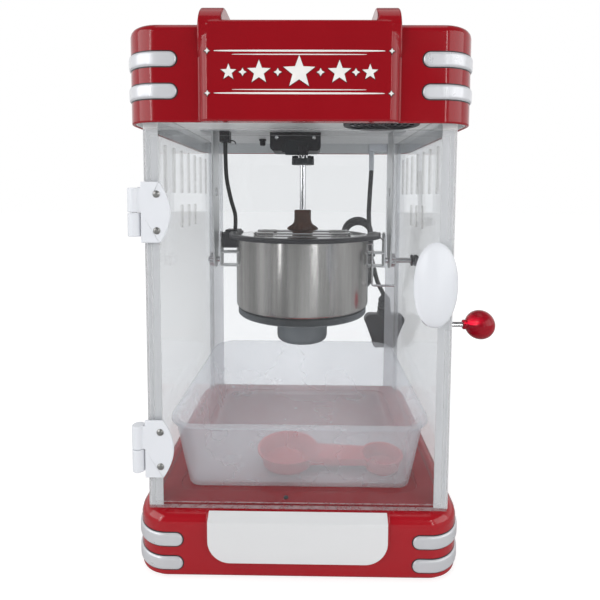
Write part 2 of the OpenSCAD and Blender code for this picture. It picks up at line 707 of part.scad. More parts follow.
module flap_pins() color(STEEL) for (s = [-1, 1])
    translate([-53, kettle_y + s * flap_y, flap_z]) bar_x(1, 106);

// brown collar that guides the stirring rod, sitting on the bridge
module shaft_bush() color([0.3, 0.2, 0.17]) translate([0, kettle_y, 0]) rotate_extrude()
    polygon([[rod_r + run_c, pot_z1 + 1.2], [9.5, pot_z1 + 1.2], [12, pot_z1 + 3.2],
        [16, pot_z1 + 6], [17.6, pot_z1 + 6.6], [17.6, pot_z1 + 8.2], [13, pot_z1 + 12],
        [9.8, pot_z1 + 15], [8.6, pot_z1 + 18.5], [8.6, pot_z1 + 28.5],
        [rod_r + run_c, pot_z1 + 28.5]]);

// black half ring round the front of the rim, with the cable block at its left end
module rim_handle() color(BLACK) translate([0, kettle_y, pot_z1]) {
    inner = pot_r + 0.3;
    rotate_extrude(angle = 180, start = 180) polygon([[inner, -3.5], [rim_r - 1.2, -3.5],
        [rim_r, -2.1], [rim_r, 2.5], [rim_r - 1.6, 4.1], [inner + 0.5, 4.1], [inner, 3.5]]);
    translate([(inner + rim_r) / 2, 0, -3.5]) cylinder(r = (rim_r - inner) / 2, h = 7);
    difference() {
        union() {
            span([-pot_r - 16, -6, -14.5], [-pot_r + 14, 24, 3]);
            span([-pot_r - 14, 0, 2.5], [-pot_r + 2, 20, 5.5]);
        }
        translate([0, 0, -80]) cylinder(r = inner, h = 160);
        translate([-78, 9, -11.5]) cylinder(r = cable_r, h = 40);
    }
}

// black housing of the heating plate under the pot, ribbed underneath
module heater_housing() color([0.23, 0.24, 0.25]) translate([0, kettle_y, 0]) {
    rotate_extrude() polygon([[0, pot_z0], [heat_r, pot_z0], [heat_r, heat_z],
        [heat_r - 1.5, heat_z - 1.5], [cap_r + 14, heat_z - 9], [cap_r + 2, cap_z1 + 1.5],
        [cap_r + 2, cap_z1], [0, cap_z1]]);
    for (a = [22.5:45:359]) rotate(a) rotate([90, 0, 0]) linear_extrude(2.4, center = true)
        polygon([[cap_r + 1.5, cap_z1 + 2.5], [heat_r - 6, heat_z - 1.5],
            [heat_r - 6, heat_z - 4], [cap_r + 1.5, cap_z1]]);
}

// dished cap over the heater's thermostat, held by one screw
module heater_cap() color([0.23, 0.24, 0.25]) translate([0, kettle_y, 0]) difference() {
    rotate_extrude() polygon([[0, cap_z0], [cap_r - 4, cap_z0], [cap_r - 1, cap_z0 + 1.6],
        [cap_r, cap_z0 + 5], [cap_r, cap_z1 - 0.1], [0, cap_z1 - 0.1]]);
    translate([0, 0, cap_z0 - 1]) cylinder(r = 4, h = 3);
}

// side ears of the kettle: folded plates that carry the pivots
module kettle_ears() color(STEEL) for (s = [-1, 1])
    translate([0, kettle_y, pivot_z]) scale([s, 1, 1]) difference() {
        union() {
            rotate([90, 0, 90]) translate([0, 0, ear_x]) linear_extrude(2)
                polygon([[-7, -7.5], [7, -7.5], [7, 26.5], [3, 31.5], [-3, 31.5], [-7, 26.5]]);
            span([pot_r - 14, -7, -7.5], [ear_x + 1, 7, -5.5]);
            span([pot_r - 14, -7, 7.5], [ear_x + 1, 7, 9.5]);
        }
        translate([0, 0, -100]) cylinder(r = pot_r, h = 200);
    }

// short axle on the left ear
module left_pivot() color(STEEL)
    translate([-hang_x - 8.5, kettle_y, pivot_z]) bar_x(axle_r, hang_x + 8.5 - ear_x - 2);

// star-shaped nuts that keep the kettle between the straps
module thumb_nuts() color(STEEL) for (s = [-1, 1])
    translate([s * (hang_x + 4), kettle_y, pivot_z]) rotate([0, 90, 0]) difference() {
        linear_extrude(5, center = true) {
            circle(5.6);
            for (a = [0:60:359]) rotate(a) translate([5.6, 0]) circle(1.9);
        }
        cylinder(r = axle_r + run_c, h = 10, center = true);
    }

// axle, crank and handle bent from one rod
module dump_lever() color(STEEL) translate([0, kettle_y, 0]) {
    b = 8;
    translate([ear_x + 2, 0, pivot_z]) bar_x(axle_r, crank_x - b - ear_x - 2);
    translate([crank_x - b, 0, pivot_z - b]) rotate([90, 0, 0])
        rotate_extrude(angle = 90) translate([b, 0]) circle(axle_r);
    translate([crank_x, 0, lever_z + b]) cylinder(r = axle_r, h = lever_drop - 2 * b);
    translate([crank_x + b, 0, lever_z + b]) rotate([90, 0, 0])
        rotate_extrude(angle = 90, start = 180) translate([b, 0]) circle(axle_r);
    translate([crank_x + b, 0, lever_z]) bar_x(axle_r, ball_x - 6 - crank_x - b);
}

// red ball with a short socket
module lever_ball() color([0.65, 0.08, 0.1]) translate([ball_x, kettle_y, lever_z])
    difference() {
        union() {
            sphere(ball_r);
            translate([-ball_r - 3, 0, 0]) bar_x(5.5, 8);
        }
        translate([-40, 0, 0]) bar_x(axle_r, 34.1);
    }

// bent wire hook on the right of the kettle
module hook_wire() color(STEEL) translate([0, kettle_y - 9.6, pot_z1 - 8.5]) {
    w = 1.25;
    x = pot_r + 4;
    difference() {
        translate([pot_r - 4, 0, 0]) bar_x(w, 8);
        translate([0, 9.6, -100]) cylinder(r = pot_r, h = 200);
    }
    translate([x, 0, 0]) sphere(w);
    translate([x, 0, -44]) cylinder(r = w, h = 44);
    translate([x + 3, 0, -44]) rotate([90, 0, 0]) rotate_extrude(angle = 90, start = 180)
        translate([3, 0]) circle(w);
    translate([x + 3, 0, -47]) bar_x(w, 22);
    translate([x + 25, 0, -47]) sphere(w);
}

// stirring rod from the pot floor up to the crown gear
module stirrer_rod() color(STEEL) translate([0, kettle_y, 0])
    translate([0, 0, pot_z0 + 4.2]) cylinder(r = rod_r, h = crown_z - 3.4 - pot_z0 - 4.2);

// crown gear: hub and disc with upright radial teeth
module rod_gear() color([0.17, 0.17, 0.16]) translate([0, kettle_y, 0]) difference() {
    union() {
        translate([0, 0, crown_z - 9.4]) cylinder(r = crown_r, h = 6.4);
        for (i = [0:crown_n - 1]) rotate((i + 0.5) * 360 / crown_n)
            translate([0, 0, crown_z - 4]) linear_extrude(4)
                polygon([[7.5, -0.6], [crown_r - 0.1, -0.75], [crown_r - 0.1, 0.75], [7.5, 0.6]]);
    }
    translate([0, 0, crown_z - 12]) cylinder(r = rod_r, h = 8.6);
}

// wire arms that sweep the pot floor, on a small clamp
module stirring_wire() color(STEEL) translate([0, kettle_y, pot_z0 + 7.4]) {
    arm = pot_r - 16;
    difference() {
        translate([0, 0, -2.4]) cylinder(r = 7, h = 7);
        translate([0, 0, -3]) cylinder(r = rod_r, h = 10);
    }
    for (s = [-1, 1]) {
        translate([s > 0 ? 6 : -arm, 0, 0]) bar_x(1.5, arm - 6);
        translate([s * arm, 0, 0]) sphere(1.5);
        translate([s * arm, 0, 0]) cylinder(r = 1.5, h = 16);
    }
}

// drive gear with its axle, front boss and retaining screw
module drive_gear() color(BLACK) translate([0, drive_y, drive_z]) {
    difference() {
        rotate([90, 0, 0]) {
            linear_extrude(5, center = true) {
                circle(5.2);
                for (i = [0:drive_n - 1]) rotate(i * 360 / drive_n - 90)
                    polygon([[4.5, -1.1], [drive_r, -0.55], [drive_r, 0.55], [4.5, 1.1]]);
            }
            translate([0, 0, 2.5]) cylinder(r = 4.6, h = 3);
        }
        translate([-0.5, -6, -4]) cube([1, 1.4, 8]);
    }
    bar_y(daxle_r, 11);
}

// open tub with leaning walls and a rolled edge
module popcorn_tub() color([0.95, 0.96, 0.97, 0.55]) difference() {
    union() {
        eased(tub_w, tub_d, 24, [[tub_in + 2, tub_z0], [tub_in, tub_z0 + 2], [0, tub_z1]]);
        translate([0, 0, tub_z1 - 3.5]) linear_extrude(3.5)
            rrect(tub_w + 2 * tub_edge, tub_d + 2 * tub_edge, 24 + tub_edge);
    }
    eased(tub_w - 2 * tub_t, tub_d - 2 * tub_t, 22, [[tub_in + 1.5, tub_z0 + tub_t],
        [tub_in - 0.5, tub_z0 + tub_t + 2], [0, tub_z1 + 0.01]]);
}

// measuring scoop with a large and a small cup on one bar
module cup(r, h) rotate_extrude() polygon([[0, 0], [r * 0.78, 0], [r * 0.84, 1.5],
    [r - 1.5, h - 2], [r, h - 2], [r, h], [r - 2.4, h], [r * 0.84 - 1.8, 1.8], [0, 1.8]]);
module scoop() color([0.7, 0.05, 0.08]) translate([-12, -64, tub_z0 + tub_t + 0.3]) {
    x0 = cup_r * 0.7;
    x1 = cup_gap - cup2_r * 0.55;
    front = -bar_w / 2 - 4;
    cup(cup_r, cup_h);
    translate([cup_gap, -7, 0]) cup(cup2_r, cup2_h);
    difference() {
        union() {
            translate([0, 0, cup2_h - 3.2]) linear_extrude(2.2) polygon([[x0, front], [x1, front],
                [x1, bar_w / 2 - 6], [x0, bar_w / 2 - 2]]);
            span([x0, front, cup2_h - 7.5], [x1, front + 1.8, cup2_h - 1]);
            translate([0, 0, cup2_h - 7.5]) linear_extrude(6.5) polygon([[x0, bar_w / 2 - 2],
                [x0, bar_w / 2 - 3.9], [x1, bar_w / 2 - 7.9], [x1, bar_w / 2 - 6]]);
        }
        translate([0, 0, 1]) cylinder(r1 = cup_r * 0.84 - 1, r2 = cup_r - 2, h = cup_h);
        translate([cup_gap, -7, 1]) cylinder(r1 = cup2_r * 0.84 - 1, r2 = cup2_r - 2, h = cup2_h);
    }
}

// tube swept along a list of points, eight-sided
function unit(v) = v / norm(v);
function frame_u(t) = abs(t[1]) < 0.9 ? unit(cross(t, [0, 1, 0])) : unit(cross(t, [1, 0, 0]));
module tube(pts, r) {
    n = len(pts);
    ring = [for (i = [0:n - 1])
        let (t = unit(pts[min(i + 1, n - 1)] - pts[max(i - 1, 0)]), u = frame_u(t),
             v = cross(t, u))
        for (k = [0:7]) pts[i] + r * (cos(k * 45) * u + sin(k * 45) * v)];
    polyhedron(ring, concat([[for (k = [0:7]) k]], [[for (k = [7:-1:0]) (n - 1) * 8 + k]],
        [for (i = [0:n - 2], k = [0:7])
            [i * 8 + k, (i + 1) * 8 + k, (i + 1) * 8 + (k + 1) % 8, i * 8 + (k + 1) % 8]]));
}
// smooth curve through hand-set points
function mid4(a, b, c, d, t) = 0.5 * ((2 * b) + (c - a) * t + (2 * a - 5 * b + 4 * c - d) * t * t
    + (3 * b - a - 3 * c + d) * t * t * t);
function curve(p, k) = let (n = len(p)) concat([for (i = [0:n - 2], j = [0:k - 1])
    mid4(p[max(i - 1, 0)], p[i], p[i + 1], p[min(i + 2, n - 1)], j / k)], [p[n - 1]]);

cable_route = [[-87, 12, ceil_z - 12.2], [-87, 12, 370], [-86, 13, 345], [-82, 16, 322],
    [-78, 20, 305], [-77.6, 21, 294], [-78, 21, 287.3]];
module heater_cable() color(BLACK) tube(curve(cable_route, 5), cable_r);

cord_route = [[92, gland_y, ceil_z - 36.2], [91.2, 129.4, 345], [90.3, 129, 330],
    [89.6, 128.4, 315], [89.2, 127.8, 304], [89, 127.6, 295.6]];
tail_route = [[100.4, 149.2, 223.5], [102, 145.2, 214], [104.2, 141.4, 205.2],
    [107.2, 138.9, 197.8], [110.4, 137.6, 191.6], [111.8, 137.2, 189.7]];
module mains_cord() color(BLACK) {
    tube(curve(cord_route, 4), cord_r);
    tube(curve(tail_route, 4), cord_r);
}
// spare cord folded into a hank behind the back panel
hank = [75, 125.2, 246];
hank_run = 60;
hank_w = 44;
hank_t = 31.4;
module cord_hank() color(BLACK) translate([hank[0], hank[1] + hank_t, hank[2]])
    rotate([90, 0, 0]) linear_extrude(hank_t) {
        square([hank_w, hank_run], center = true);
        for (s = [-1, 1]) translate([0, s * hank_run / 2]) circle(hank_w / 2);
    }
module cord_tie() color(BLACK) translate([hank[0], hank[1] + hank_t / 2, hank[2]])
    difference() {
        cube([hank_w + 2.6, hank_t + 2.2, 7], center = true);
        cube([hank_w + 0.6, hank_t + 0.6, 20], center = true);
    }
// moulded plug: tapered shield outline, ribbed collar above, pins to the rear
plug = [114, 129.5, 150];
module mains_plug() color(BLACK) translate(plug) {
    rotate([-90, 0, 0]) linear_extrude(15) mirror([0, 1]) {
        for (s = [-1, 1]) translate([s * 19.5, 1]) circle(8.5);
        translate([-19.5, 1]) square([39, 8.5]);
        polygon([[-28, 1], [28, 1], [16, -32], [-16, -32]]);
        translate([-12, -38]) square([24, 10]);
        for (s = [-1, 1]) translate([s * 11, -32.5]) circle(5.5);
    }
    translate([0, 7.5, 9]) for (i = [0:3]) translate([0, 0, i * 6]) {
        cylinder(r = 10 - i * 0.6, h = 4.6);
        cylinder(r = 8.4 - i * 0.6, h = 6.4);
    }
    translate([0, 7.5, 32]) cylinder(r1 = 6, r2 = 4, h = 5.6);
}
module plug_pins() color([0.75, 0.66, 0.42]) translate([plug[0], plug[1] + 15, plug[2] - 12]) {
    span([-2, 0, -14], [2, 22, -6]);
    for (s = [-1, 1]) span([s * 11 - 3.1, 0, 6], [s * 11 + 3.1, 17.7, 10]);
}

base_shell();
base_bands();
nameplate();
bottom_plate();
feet();
cabinet_floor();
front_posts();
rear_posts();
side_panels();
back_panel();
ceiling_plate();
ceiling_vent();
head_shell();
head_bands();
motor_housing();
gear_bracket();
hanger_straps();
lever_bush();
switch_bezel();
switch_rocker();
cord_gland();
cable_clip();
body_hinge_leaves();
hinge_pins();
body_screws();
door_panel();
door_hinge_leaves();
door_screws();
door_knob();
kettle_pot();
lid_bridge();
shaft_bush();
rim_handle();
heater_housing();
heater_cap();
kettle_ears();
left_pivot();
thumb_nuts();
dump_lever();
lever_ball();
hook_wire();
flap_pins();
lid_front();
lid_back();
stirrer_rod();
rod_gear();
stirring_wire();
drive_gear();
popcorn_tub();
scoop();
heater_cable();
mains_cord();
cord_hank();
cord_tie();
mains_plug();
plug_pins();
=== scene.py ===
"""Table-top kettle popcorn machine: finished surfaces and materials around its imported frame."""
import json
import math
from functools import wraps

import bmesh
import bpy
import numpy as np
from bpy.props import FloatProperty, FloatVectorProperty, IntProperty, PointerProperty
from mathutils import Matrix, Vector


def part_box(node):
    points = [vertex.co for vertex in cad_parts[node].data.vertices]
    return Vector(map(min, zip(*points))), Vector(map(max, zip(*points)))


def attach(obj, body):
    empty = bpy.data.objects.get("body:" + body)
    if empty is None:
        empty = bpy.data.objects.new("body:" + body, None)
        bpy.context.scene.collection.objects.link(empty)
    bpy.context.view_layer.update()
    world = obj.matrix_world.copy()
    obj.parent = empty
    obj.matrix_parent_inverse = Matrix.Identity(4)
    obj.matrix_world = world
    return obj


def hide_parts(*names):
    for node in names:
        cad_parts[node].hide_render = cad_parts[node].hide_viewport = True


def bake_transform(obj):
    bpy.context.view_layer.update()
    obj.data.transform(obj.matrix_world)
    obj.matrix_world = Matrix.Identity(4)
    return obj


bl_info = {
    "name": "Kettle Popcorn Machine",
    "version": (1, 0, 0),
    "blender": (4, 5, 0),
    "location": "3D View > Sidebar > Popcorn",
    "description": "Builds the moulded shell, clear cabinet, tilting kettle and tub of a popcorn machine",
    "category": "Object",
}

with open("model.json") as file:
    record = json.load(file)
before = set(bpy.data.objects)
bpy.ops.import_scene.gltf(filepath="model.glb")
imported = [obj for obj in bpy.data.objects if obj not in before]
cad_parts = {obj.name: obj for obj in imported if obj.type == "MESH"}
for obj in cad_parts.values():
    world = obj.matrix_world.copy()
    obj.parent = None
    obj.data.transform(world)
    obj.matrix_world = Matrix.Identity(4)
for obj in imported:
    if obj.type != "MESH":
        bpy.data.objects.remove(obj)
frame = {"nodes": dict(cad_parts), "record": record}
NODES = frame["nodes"]
BODY_OF = {
    n: body
    for body, members in frame["record"]["behaviour"]["bodies"].items()
    for n in members
}
SLOT_OF = {row["node"]: row["material_slot"] for row in frame["record"]["subparts"]}
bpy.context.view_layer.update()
MM = 0.001


# ---------------------------------------------------------------- settings


def colour_property(name, description, default):
    return FloatVectorProperty(
        name=name, description=description, subtype="COLOR", size=3, min=0, max=1, default=default
    )


def length_property(name, description, default):
    return FloatProperty(
        name=name, description=description, unit="LENGTH", subtype="DISTANCE", min=0, default=default
    )


class ShellSettings(bpy.types.PropertyGroup):
    red: colour_property("Shell red", "Colour of the head and base mouldings", (0.265, 0.0022, 0.0075))
    silver: colour_property("Trim silver", "Colour of the corner bands", (0.62, 0.63, 0.66))
    edge: length_property("Edge radius", "Rounding of the mouldings' edges", 0.0013)
    dome: length_property("Band dome", "How far a band stands out", 0.0016)
    # the band gap is the width of a dark sheet round each band, painted shade in its recess
    outline: length_property("Band gap", "Width of the dark gap round a band", 0.0009)


class CabinetSettings(bpy.types.PropertyGroup):
    haze: FloatProperty(
        name="Haze", description="Share of light that the clear sheets scatter", default=0.008, min=0, max=1
    )
    post: colour_property("Post colour", "Colour of the corner posts", (0.7, 0.705, 0.715))
    plastic: colour_property("White plastic", "Colour of hinges and knob", (0.72, 0.735, 0.77))


class KettleSettings(bpy.types.PropertyGroup):
    steel: colour_property("Pot steel", "Colour of the spun pot", (0.58, 0.565, 0.545))
    black: colour_property("Black plastic", "Colour of the dark fittings", (0.012, 0.013, 0.015))
    sides: IntProperty(name="Pot facets", description="Steps round the pot", default=160, min=24)


class TubSettings(bpy.types.PropertyGroup):
    milk: FloatProperty(
        name="Milkiness", description="Share of light that each wall face scatters", default=0.26, min=0, max=1
    )
    bead: length_property("Bead height", "Height of the raised lines in the tub's floor", 0.0006)
    scoop: colour_property("Scoop red", "Colour of the scoop", (0.42, 0.01, 0.022))


class CordSettings(bpy.types.PropertyGroup):
    mains: length_property("Mains cord", "Diameter of the mains cord", 0.0062)
    heater: length_property("Heater cable", "Diameter of the heater cable", 0.0046)
    layers: IntProperty(name="Hank turns", description="Turns in the folded hank", default=4, min=2)
    pitch: length_property("Turn pitch", "Distance between two turns", 0.0063)


class StageSettings(bpy.types.PropertyGroup):
    lens: FloatProperty(name="Lens", description="Focal length for a 36 mm sensor", default=27.11)
    place: FloatVectorProperty(
        name="Camera", description="Place of the camera", unit="LENGTH", size=3,
        default=(0.01054, -0.49835, 0.32554),
    )
    pitch: FloatProperty(
        name="Pitch", description="How far the camera looks down", unit="ROTATION", default=math.radians(3.78)
    )
    yaw: FloatProperty(
        name="Yaw", description="How far it looks to the right", unit="ROTATION", default=math.radians(-0.64)
    )
    roll: FloatProperty(
        name="Roll", description="How far it is rolled", unit="ROTATION", default=math.radians(-0.31)
    )
    shift: FloatVectorProperty(
        name="Shift", description="Lens shift as a share of the frame", size=2, default=(-0.0115, -0.1235)
    )
    level: FloatProperty(name="Room light", description="Strength of the even light", default=0.62, min=0)


SETTINGS = {
    "pop_shell": ShellSettings,
    "pop_cabinet": CabinetSettings,
    "pop_kettle": KettleSettings,
    "pop_tub": TubSettings,
    "pop_cords": CordSettings,
    "pop_stage": StageSettings,
}


# ---------------------------------------------------------------- materials


class Recipe:
    """A node tree, with short calls for the nodes that the finishes share."""

    def __init__(self, owner):
        self.owner = owner
        owner.use_nodes = True
        self.tree = owner.node_tree
        self.tree.nodes.clear()
        self.place = self.add("ShaderNodeTexCoord").outputs

    def add(self, kind, inputs=None, **values):
        """New node with the given properties and constants at its inputs."""
        node = self.tree.nodes.new(kind)
        for key, value in values.items():
            setattr(node, key, value)
        for key, value in (inputs or {}).items():
            node.inputs[key].default_value = value
        return node

    def join(self, source, socket):
        """Links an input to a node's output, or sets it to a number."""
        if isinstance(source, (int, float)):
            socket.default_value = source
        else:
            self.tree.links.new(source, socket)

    def noise(self, scale, stretch=(1, 1, 1), detail=3.0, rough=0.55):
        """Cloudy noise on the piece's own coordinates, stretched along the axes."""
        mapping = self.add("ShaderNodeMapping", {"Scale": stretch})
        self.join(self.place["Object"], mapping.inputs["Vector"])
        node = self.add("ShaderNodeTexNoise", {"Scale": scale, "Detail": detail, "Roughness": rough})
        self.join(mapping.outputs["Vector"], node.inputs["Vector"])
        return node.outputs["Fac"]

    def between(self, factor, low, high, start=0.3, stop=0.7):
        """Number that goes from low to high as the factor goes from start to stop."""
        ends = {"From Min": start, "From Max": stop, "To Min": low, "To Max": high}
        node = self.add("ShaderNodeMapRange", ends)
        self.join(factor, node.inputs["Value"])
        return node.outputs["Result"]

    def tint(self, factor, first, second, start=0.3, stop=0.7):
        """Colour that goes from first to second with the factor."""
        node = self.add("ShaderNodeValToRGB")
        ramp = node.color_ramp
        ramp.elements[0].position, ramp.elements[1].position = start, stop
        ramp.elements[0].color = (*first, 1)
        ramp.elements[1].color = (*second, 1)
        self.join(factor, node.inputs["Fac"])
        return node.outputs["Color"]

    def bump(self, height, distance, below=None):
        """Surface direction tilted by a height map, over another one where there is one below."""
        node = self.add("ShaderNodeBump", {"Strength": 1.0, "Distance": distance})
        self.join(height, node.inputs["Height"])
        if below is not None:
            self.join(below, node.inputs["Normal"])
        return node.outputs["Normal"]

    def math(self, operation, *terms):
        """Result of a sum, power or the like of outputs and numbers."""
        node = self.add("ShaderNodeMath", operation=operation)
        for term, socket in zip(terms, node.inputs):
            self.join(term, socket)
        return node.outputs[0]

    def between_two(self, factor, first, second):
        """Number that is the first at factor 0 and the second at factor 1."""
        node = self.add("ShaderNodeMix", data_type="FLOAT")
        for term, socket in zip((factor, first, second), (node.inputs[0], node.inputs[2], node.inputs[3])):
            self.join(term, socket)
        return node.outputs[0]

    def mix(self, factor, first, second):
        """Mix of two shading nodes."""
        node = self.add("ShaderNodeMixShader")
        for term, socket in zip((factor, first.outputs[0], second.outputs[0]), node.inputs):
            self.join(term, socket)
        return node

    def finish(self, shader, output="ShaderNodeOutputMaterial"):
        self.join(shader.outputs[0], self.add(output).inputs["Surface"])
        return self.owner


def once(build):
    """Makes a material the first time its name is asked for, and hands out the same one later."""
    @wraps(build)
    def made(name, *values, **named):
        return bpy.data.materials.get(name) or build(Recipe(bpy.data.materials.new(name)), *values, **named)
    return made


def shade(colour, factor):
    return tuple(min(1.0, c * factor) for c in colour)


@once
def coating(
    r, colour, rough, metal=0.0, tone=0.05, tone_scale=28.0, tone_stretch=(1, 1, 1), spread=0.05,
    grain=0.0, grain_scale=900.0, grain_stretch=(1, 1, 1), wave=0.0, coat=0.0, coat_rough=0.06, ior=1.5,
    sheen=0.0,
):
    """Solid finish: cloudy tone, roughness that drifts, fine grain and a slow wave in the surface."""
    shader = r.add("ShaderNodeBsdfPrincipled", {
        "Metallic": metal, "IOR": ior, "Coat Weight": coat, "Coat Roughness": coat_rough, "Sheen Weight": sheen,
    })
    cloud = r.noise(tone_scale, tone_stretch)
    r.join(r.tint(cloud, shade(colour, 1 - tone), shade(colour, 1 + tone)), shader.inputs["Base Color"])
    drift = r.noise(tone_scale * 2.3, tone_stretch, detail=4.0)
    smooth, dull = max(0.02, rough - spread), min(1.0, rough + spread)
    r.join(r.between(drift, smooth, dull), shader.inputs["Roughness"])
    normal = None
    if wave:
        normal = r.bump(r.noise(22.0, detail=1.0), wave)
    if grain:
        normal = r.bump(r.noise(grain_scale, grain_stretch, detail=2.0), grain, normal)
    if normal is not None:
        r.join(normal, shader.inputs["Normal"])
    return r.finish(shader)


FACE_GLOSS, EDGE_GLOSS = 0.025, 0.55  # mirrored share seen straight on, and what a flat angle adds


@once
def clear_sheet(r, haze, tint=(0.965, 0.97, 0.975)):
    """Clear plastic sheet: mostly transparent, a trace of scattering, gloss that grows at a flat angle."""
    through = r.add("ShaderNodeBsdfTransparent", {"Color": (*tint, 1)})
    milk = r.add("ShaderNodeBsdfDiffuse", {"Color": (0.86, 0.87, 0.88, 1)})
    smear = r.between(r.noise(9.0, (1, 1, 0.35), detail=4.0), haze * 0.6, haze * 1.5)
    shine = r.add("ShaderNodeBsdfAnisotropic", {"Color": (0.95, 0.96, 0.97, 1), "Roughness": 0.04})
    facing = r.add("ShaderNodeLayerWeight", {"Blend": 0.5}).outputs["Facing"]
    share = r.math("MULTIPLY_ADD", r.math("POWER", facing, 3.2), EDGE_GLOSS, FACE_GLOSS)
    return r.finish(r.mix(share, r.mix(smear, through, milk), shine))


@once
def cut_edge(r, colour, share):
    """Cut edge of a clear sheet: partly see-through, partly a dull grey tone mottled by fine noise."""
    marks = r.noise(160.0, (1, 1, 0.4), detail=2.0)
    tone = r.add("ShaderNodeBsdfPrincipled", {"Roughness": 0.3})
    r.join(r.tint(marks, shade(colour, 0.85), shade(colour, 1.15)), tone.inputs["Base Color"])
    amount = r.between(marks, share * 0.85, min(1.0, share * 1.15))
    return r.finish(r.mix(amount, r.add("ShaderNodeBsdfTransparent"), tone))


@once
def frosted_plastic(r, share, colour=(0.84, 0.86, 0.885)):
    """Milky translucent plastic: part of the light goes straight through, the rest is scattered softly."""
    through = r.add("ShaderNodeBsdfTransparent", {"Color": (0.95, 0.955, 0.965, 1)})
    body = r.add("ShaderNodeBsdfPrincipled")
    cloud = r.noise(14.0, detail=3.0)
    r.join(r.tint(cloud, shade(colour, 0.96), shade(colour, 1.03)), body.inputs["Base Color"])
    r.join(r.between(r.noise(30.0), 0.28, 0.42), body.inputs["Roughness"])
    r.join(r.bump(r.noise(120.0, detail=1.0), 0.000004), body.inputs["Normal"])
    return r.finish(r.mix(r.between(cloud, share * 0.93, share * 1.07), through, body))


@once
def spun_pot_painted_reflections(r, colour):
    """Spun steel: rings from the lathe up the wall, and soft upright streaks round it, painted reflections in the
    base colour.
    """
    shader = r.add("ShaderNodeBsdfPrincipled", {"Metallic": 1.0})
    # painted reflections: upright streaks that make the steel's colour darker and lighter round the pot
    painted_reflection_streak = r.noise(34.0, (1, 1, 0.02), detail=5.0, rough=0.62)
    tone = r.tint(painted_reflection_streak, shade(colour, 0.5), shade(colour, 1.22), 0.36, 0.64)
    r.join(tone, shader.inputs["Base Color"])
    smear = r.noise(60.0, (1, 1, 0.06), detail=3.0)
    r.join(r.between(smear, 0.14, 0.27), shader.inputs["Roughness"])
    soft = r.bump(r.noise(30.0, (1, 1, 0.03), detail=1.0), 0.0008)
    rings = r.noise(5.0, (0.4, 0.4, 160.0), detail=1.0)
    r.join(r.bump(rings, 0.000012, soft), shader.inputs["Normal"])
    return r.finish(shader)


MOULDED_RED = {
    "tone": 0.06, "tone_scale": 9.0, "spread": 0.035, "wave": 0.0009, "grain": 0.000003,
    "grain_scale": 1400.0, "coat": 0.2, "coat_rough": 0.03,
}


def coatings(scene):
    """The solid finishes by the record's slot: a name, colour and roughness, and what coating() adds."""
    return {
        "red_gloss": ("moulded_red", scene.pop_shell.red, 0.12, dict(MOULDED_RED, ior=1.4)),
        "red_ball": ("ball_red", (0.31, 0.004, 0.014), 0.1, dict(
            tone=0.06, tone_scale=60.0, spread=0.03, grain=0.000004, ior=1.36,
        )),
        "scoop_red": ("scoop_red", scene.pop_tub.scoop, 0.3, dict(tone=0.06, tone_scale=50.0, grain=0.00002)),
        "silver_band": ("trim_silver", scene.pop_shell.silver, 0.3, dict(
            metal=0.3, tone=0.03, tone_scale=40.0, spread=0.03, grain=0.000002, grain_scale=1800.0,
            coat=0.3, coat_rough=0.1,
        )),
        "bright_steel": ("bright_steel", (0.66, 0.66, 0.65), 0.24, dict(
            metal=1.0, tone=0.07, tone_scale=30.0, tone_stretch=(1, 0.15, 1), spread=0.06, grain=0.00002,
            grain_scale=260.0, grain_stretch=(0.08, 3.0, 3.0),
        )),
        "polished_steel": ("polished_steel", (0.7, 0.69, 0.66), 0.14, dict(
            metal=1.0, tone=0.06, tone_scale=70.0, spread=0.05, grain=0.00001,
        )),
        "post_grey": ("satin_post", scene.pop_cabinet.post, 0.34, dict(
            metal=0.1, tone=0.03, tone_scale=30.0, tone_stretch=(1, 1, 0.05), grain=0.00002,
            grain_scale=420.0, grain_stretch=(3, 3, 0.05),
        )),
        "white_plastic": ("white_plastic", scene.pop_cabinet.plastic, 0.26, dict(
            tone=0.02, tone_scale=40.0, grain=0.00001, coat=0.25,
        )),
        "white_sheet": ("white_sheet", (0.9, 0.905, 0.905), 0.42, dict(
            tone=0.03, tone_scale=16.0, grain=0.00003, grain_scale=700.0,
        )),
        "black_plastic": ("black_plastic", scene.pop_kettle.black, 0.36, dict(
            tone=0.2, tone_scale=40.0, grain=0.00004, grain_scale=1300.0,
        )),
        "grey_black": ("cast_dark_grey", (0.03, 0.034, 0.038), 0.42, dict(
            tone=0.15, tone_scale=45.0, grain=0.00007, grain_scale=1000.0, ior=1.32,
        )),
        "brown_plastic": ("brown_bush", (0.058, 0.026, 0.017), 0.5, dict(
            tone=0.25, tone_scale=90.0, grain=0.00008, grain_scale=800.0, ior=1.25,
        )),
        "rubber": ("black_rubber", (0.017, 0.017, 0.018), 0.52, dict(
            tone=0.18, tone_scale=60.0, grain=0.00005, grain_scale=1500.0, sheen=0.05,
        )),
        "brass": ("plain_brass", (0.62, 0.46, 0.2), 0.24, dict(
            metal=1.0, tone=0.08, tone_scale=120.0, spread=0.07, grain=0.00001, grain_scale=2000.0,
        )),
    }


def slot_material(context, slot):
    """The finish of one of the record's slots."""
    if slot == "clear_plastic":
        return clear_sheet("clear_sheet", context.scene.pop_cabinet.haze)
    if slot == "frosted":
        return frosted_plastic("frosted_tub", context.scene.pop_tub.milk)
    name, colour, rough, rest = coatings(context.scene)[slot]
    return coating(name, tuple(colour), rough, **rest)


# ---------------------------------------------------------------- surfaces


def add_piece(name, mesh, material, body, stands_for=()):
    """Puts a mesh in the scene as a piece that rides on a body."""
    piece = bpy.data.objects.new(name, mesh)
    bpy.context.scene.collection.objects.link(piece)
    mesh.materials.clear()
    mesh.materials.append(material)
    if body:
        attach(piece, body)
    if stands_for:
        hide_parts(*stands_for)
    return piece


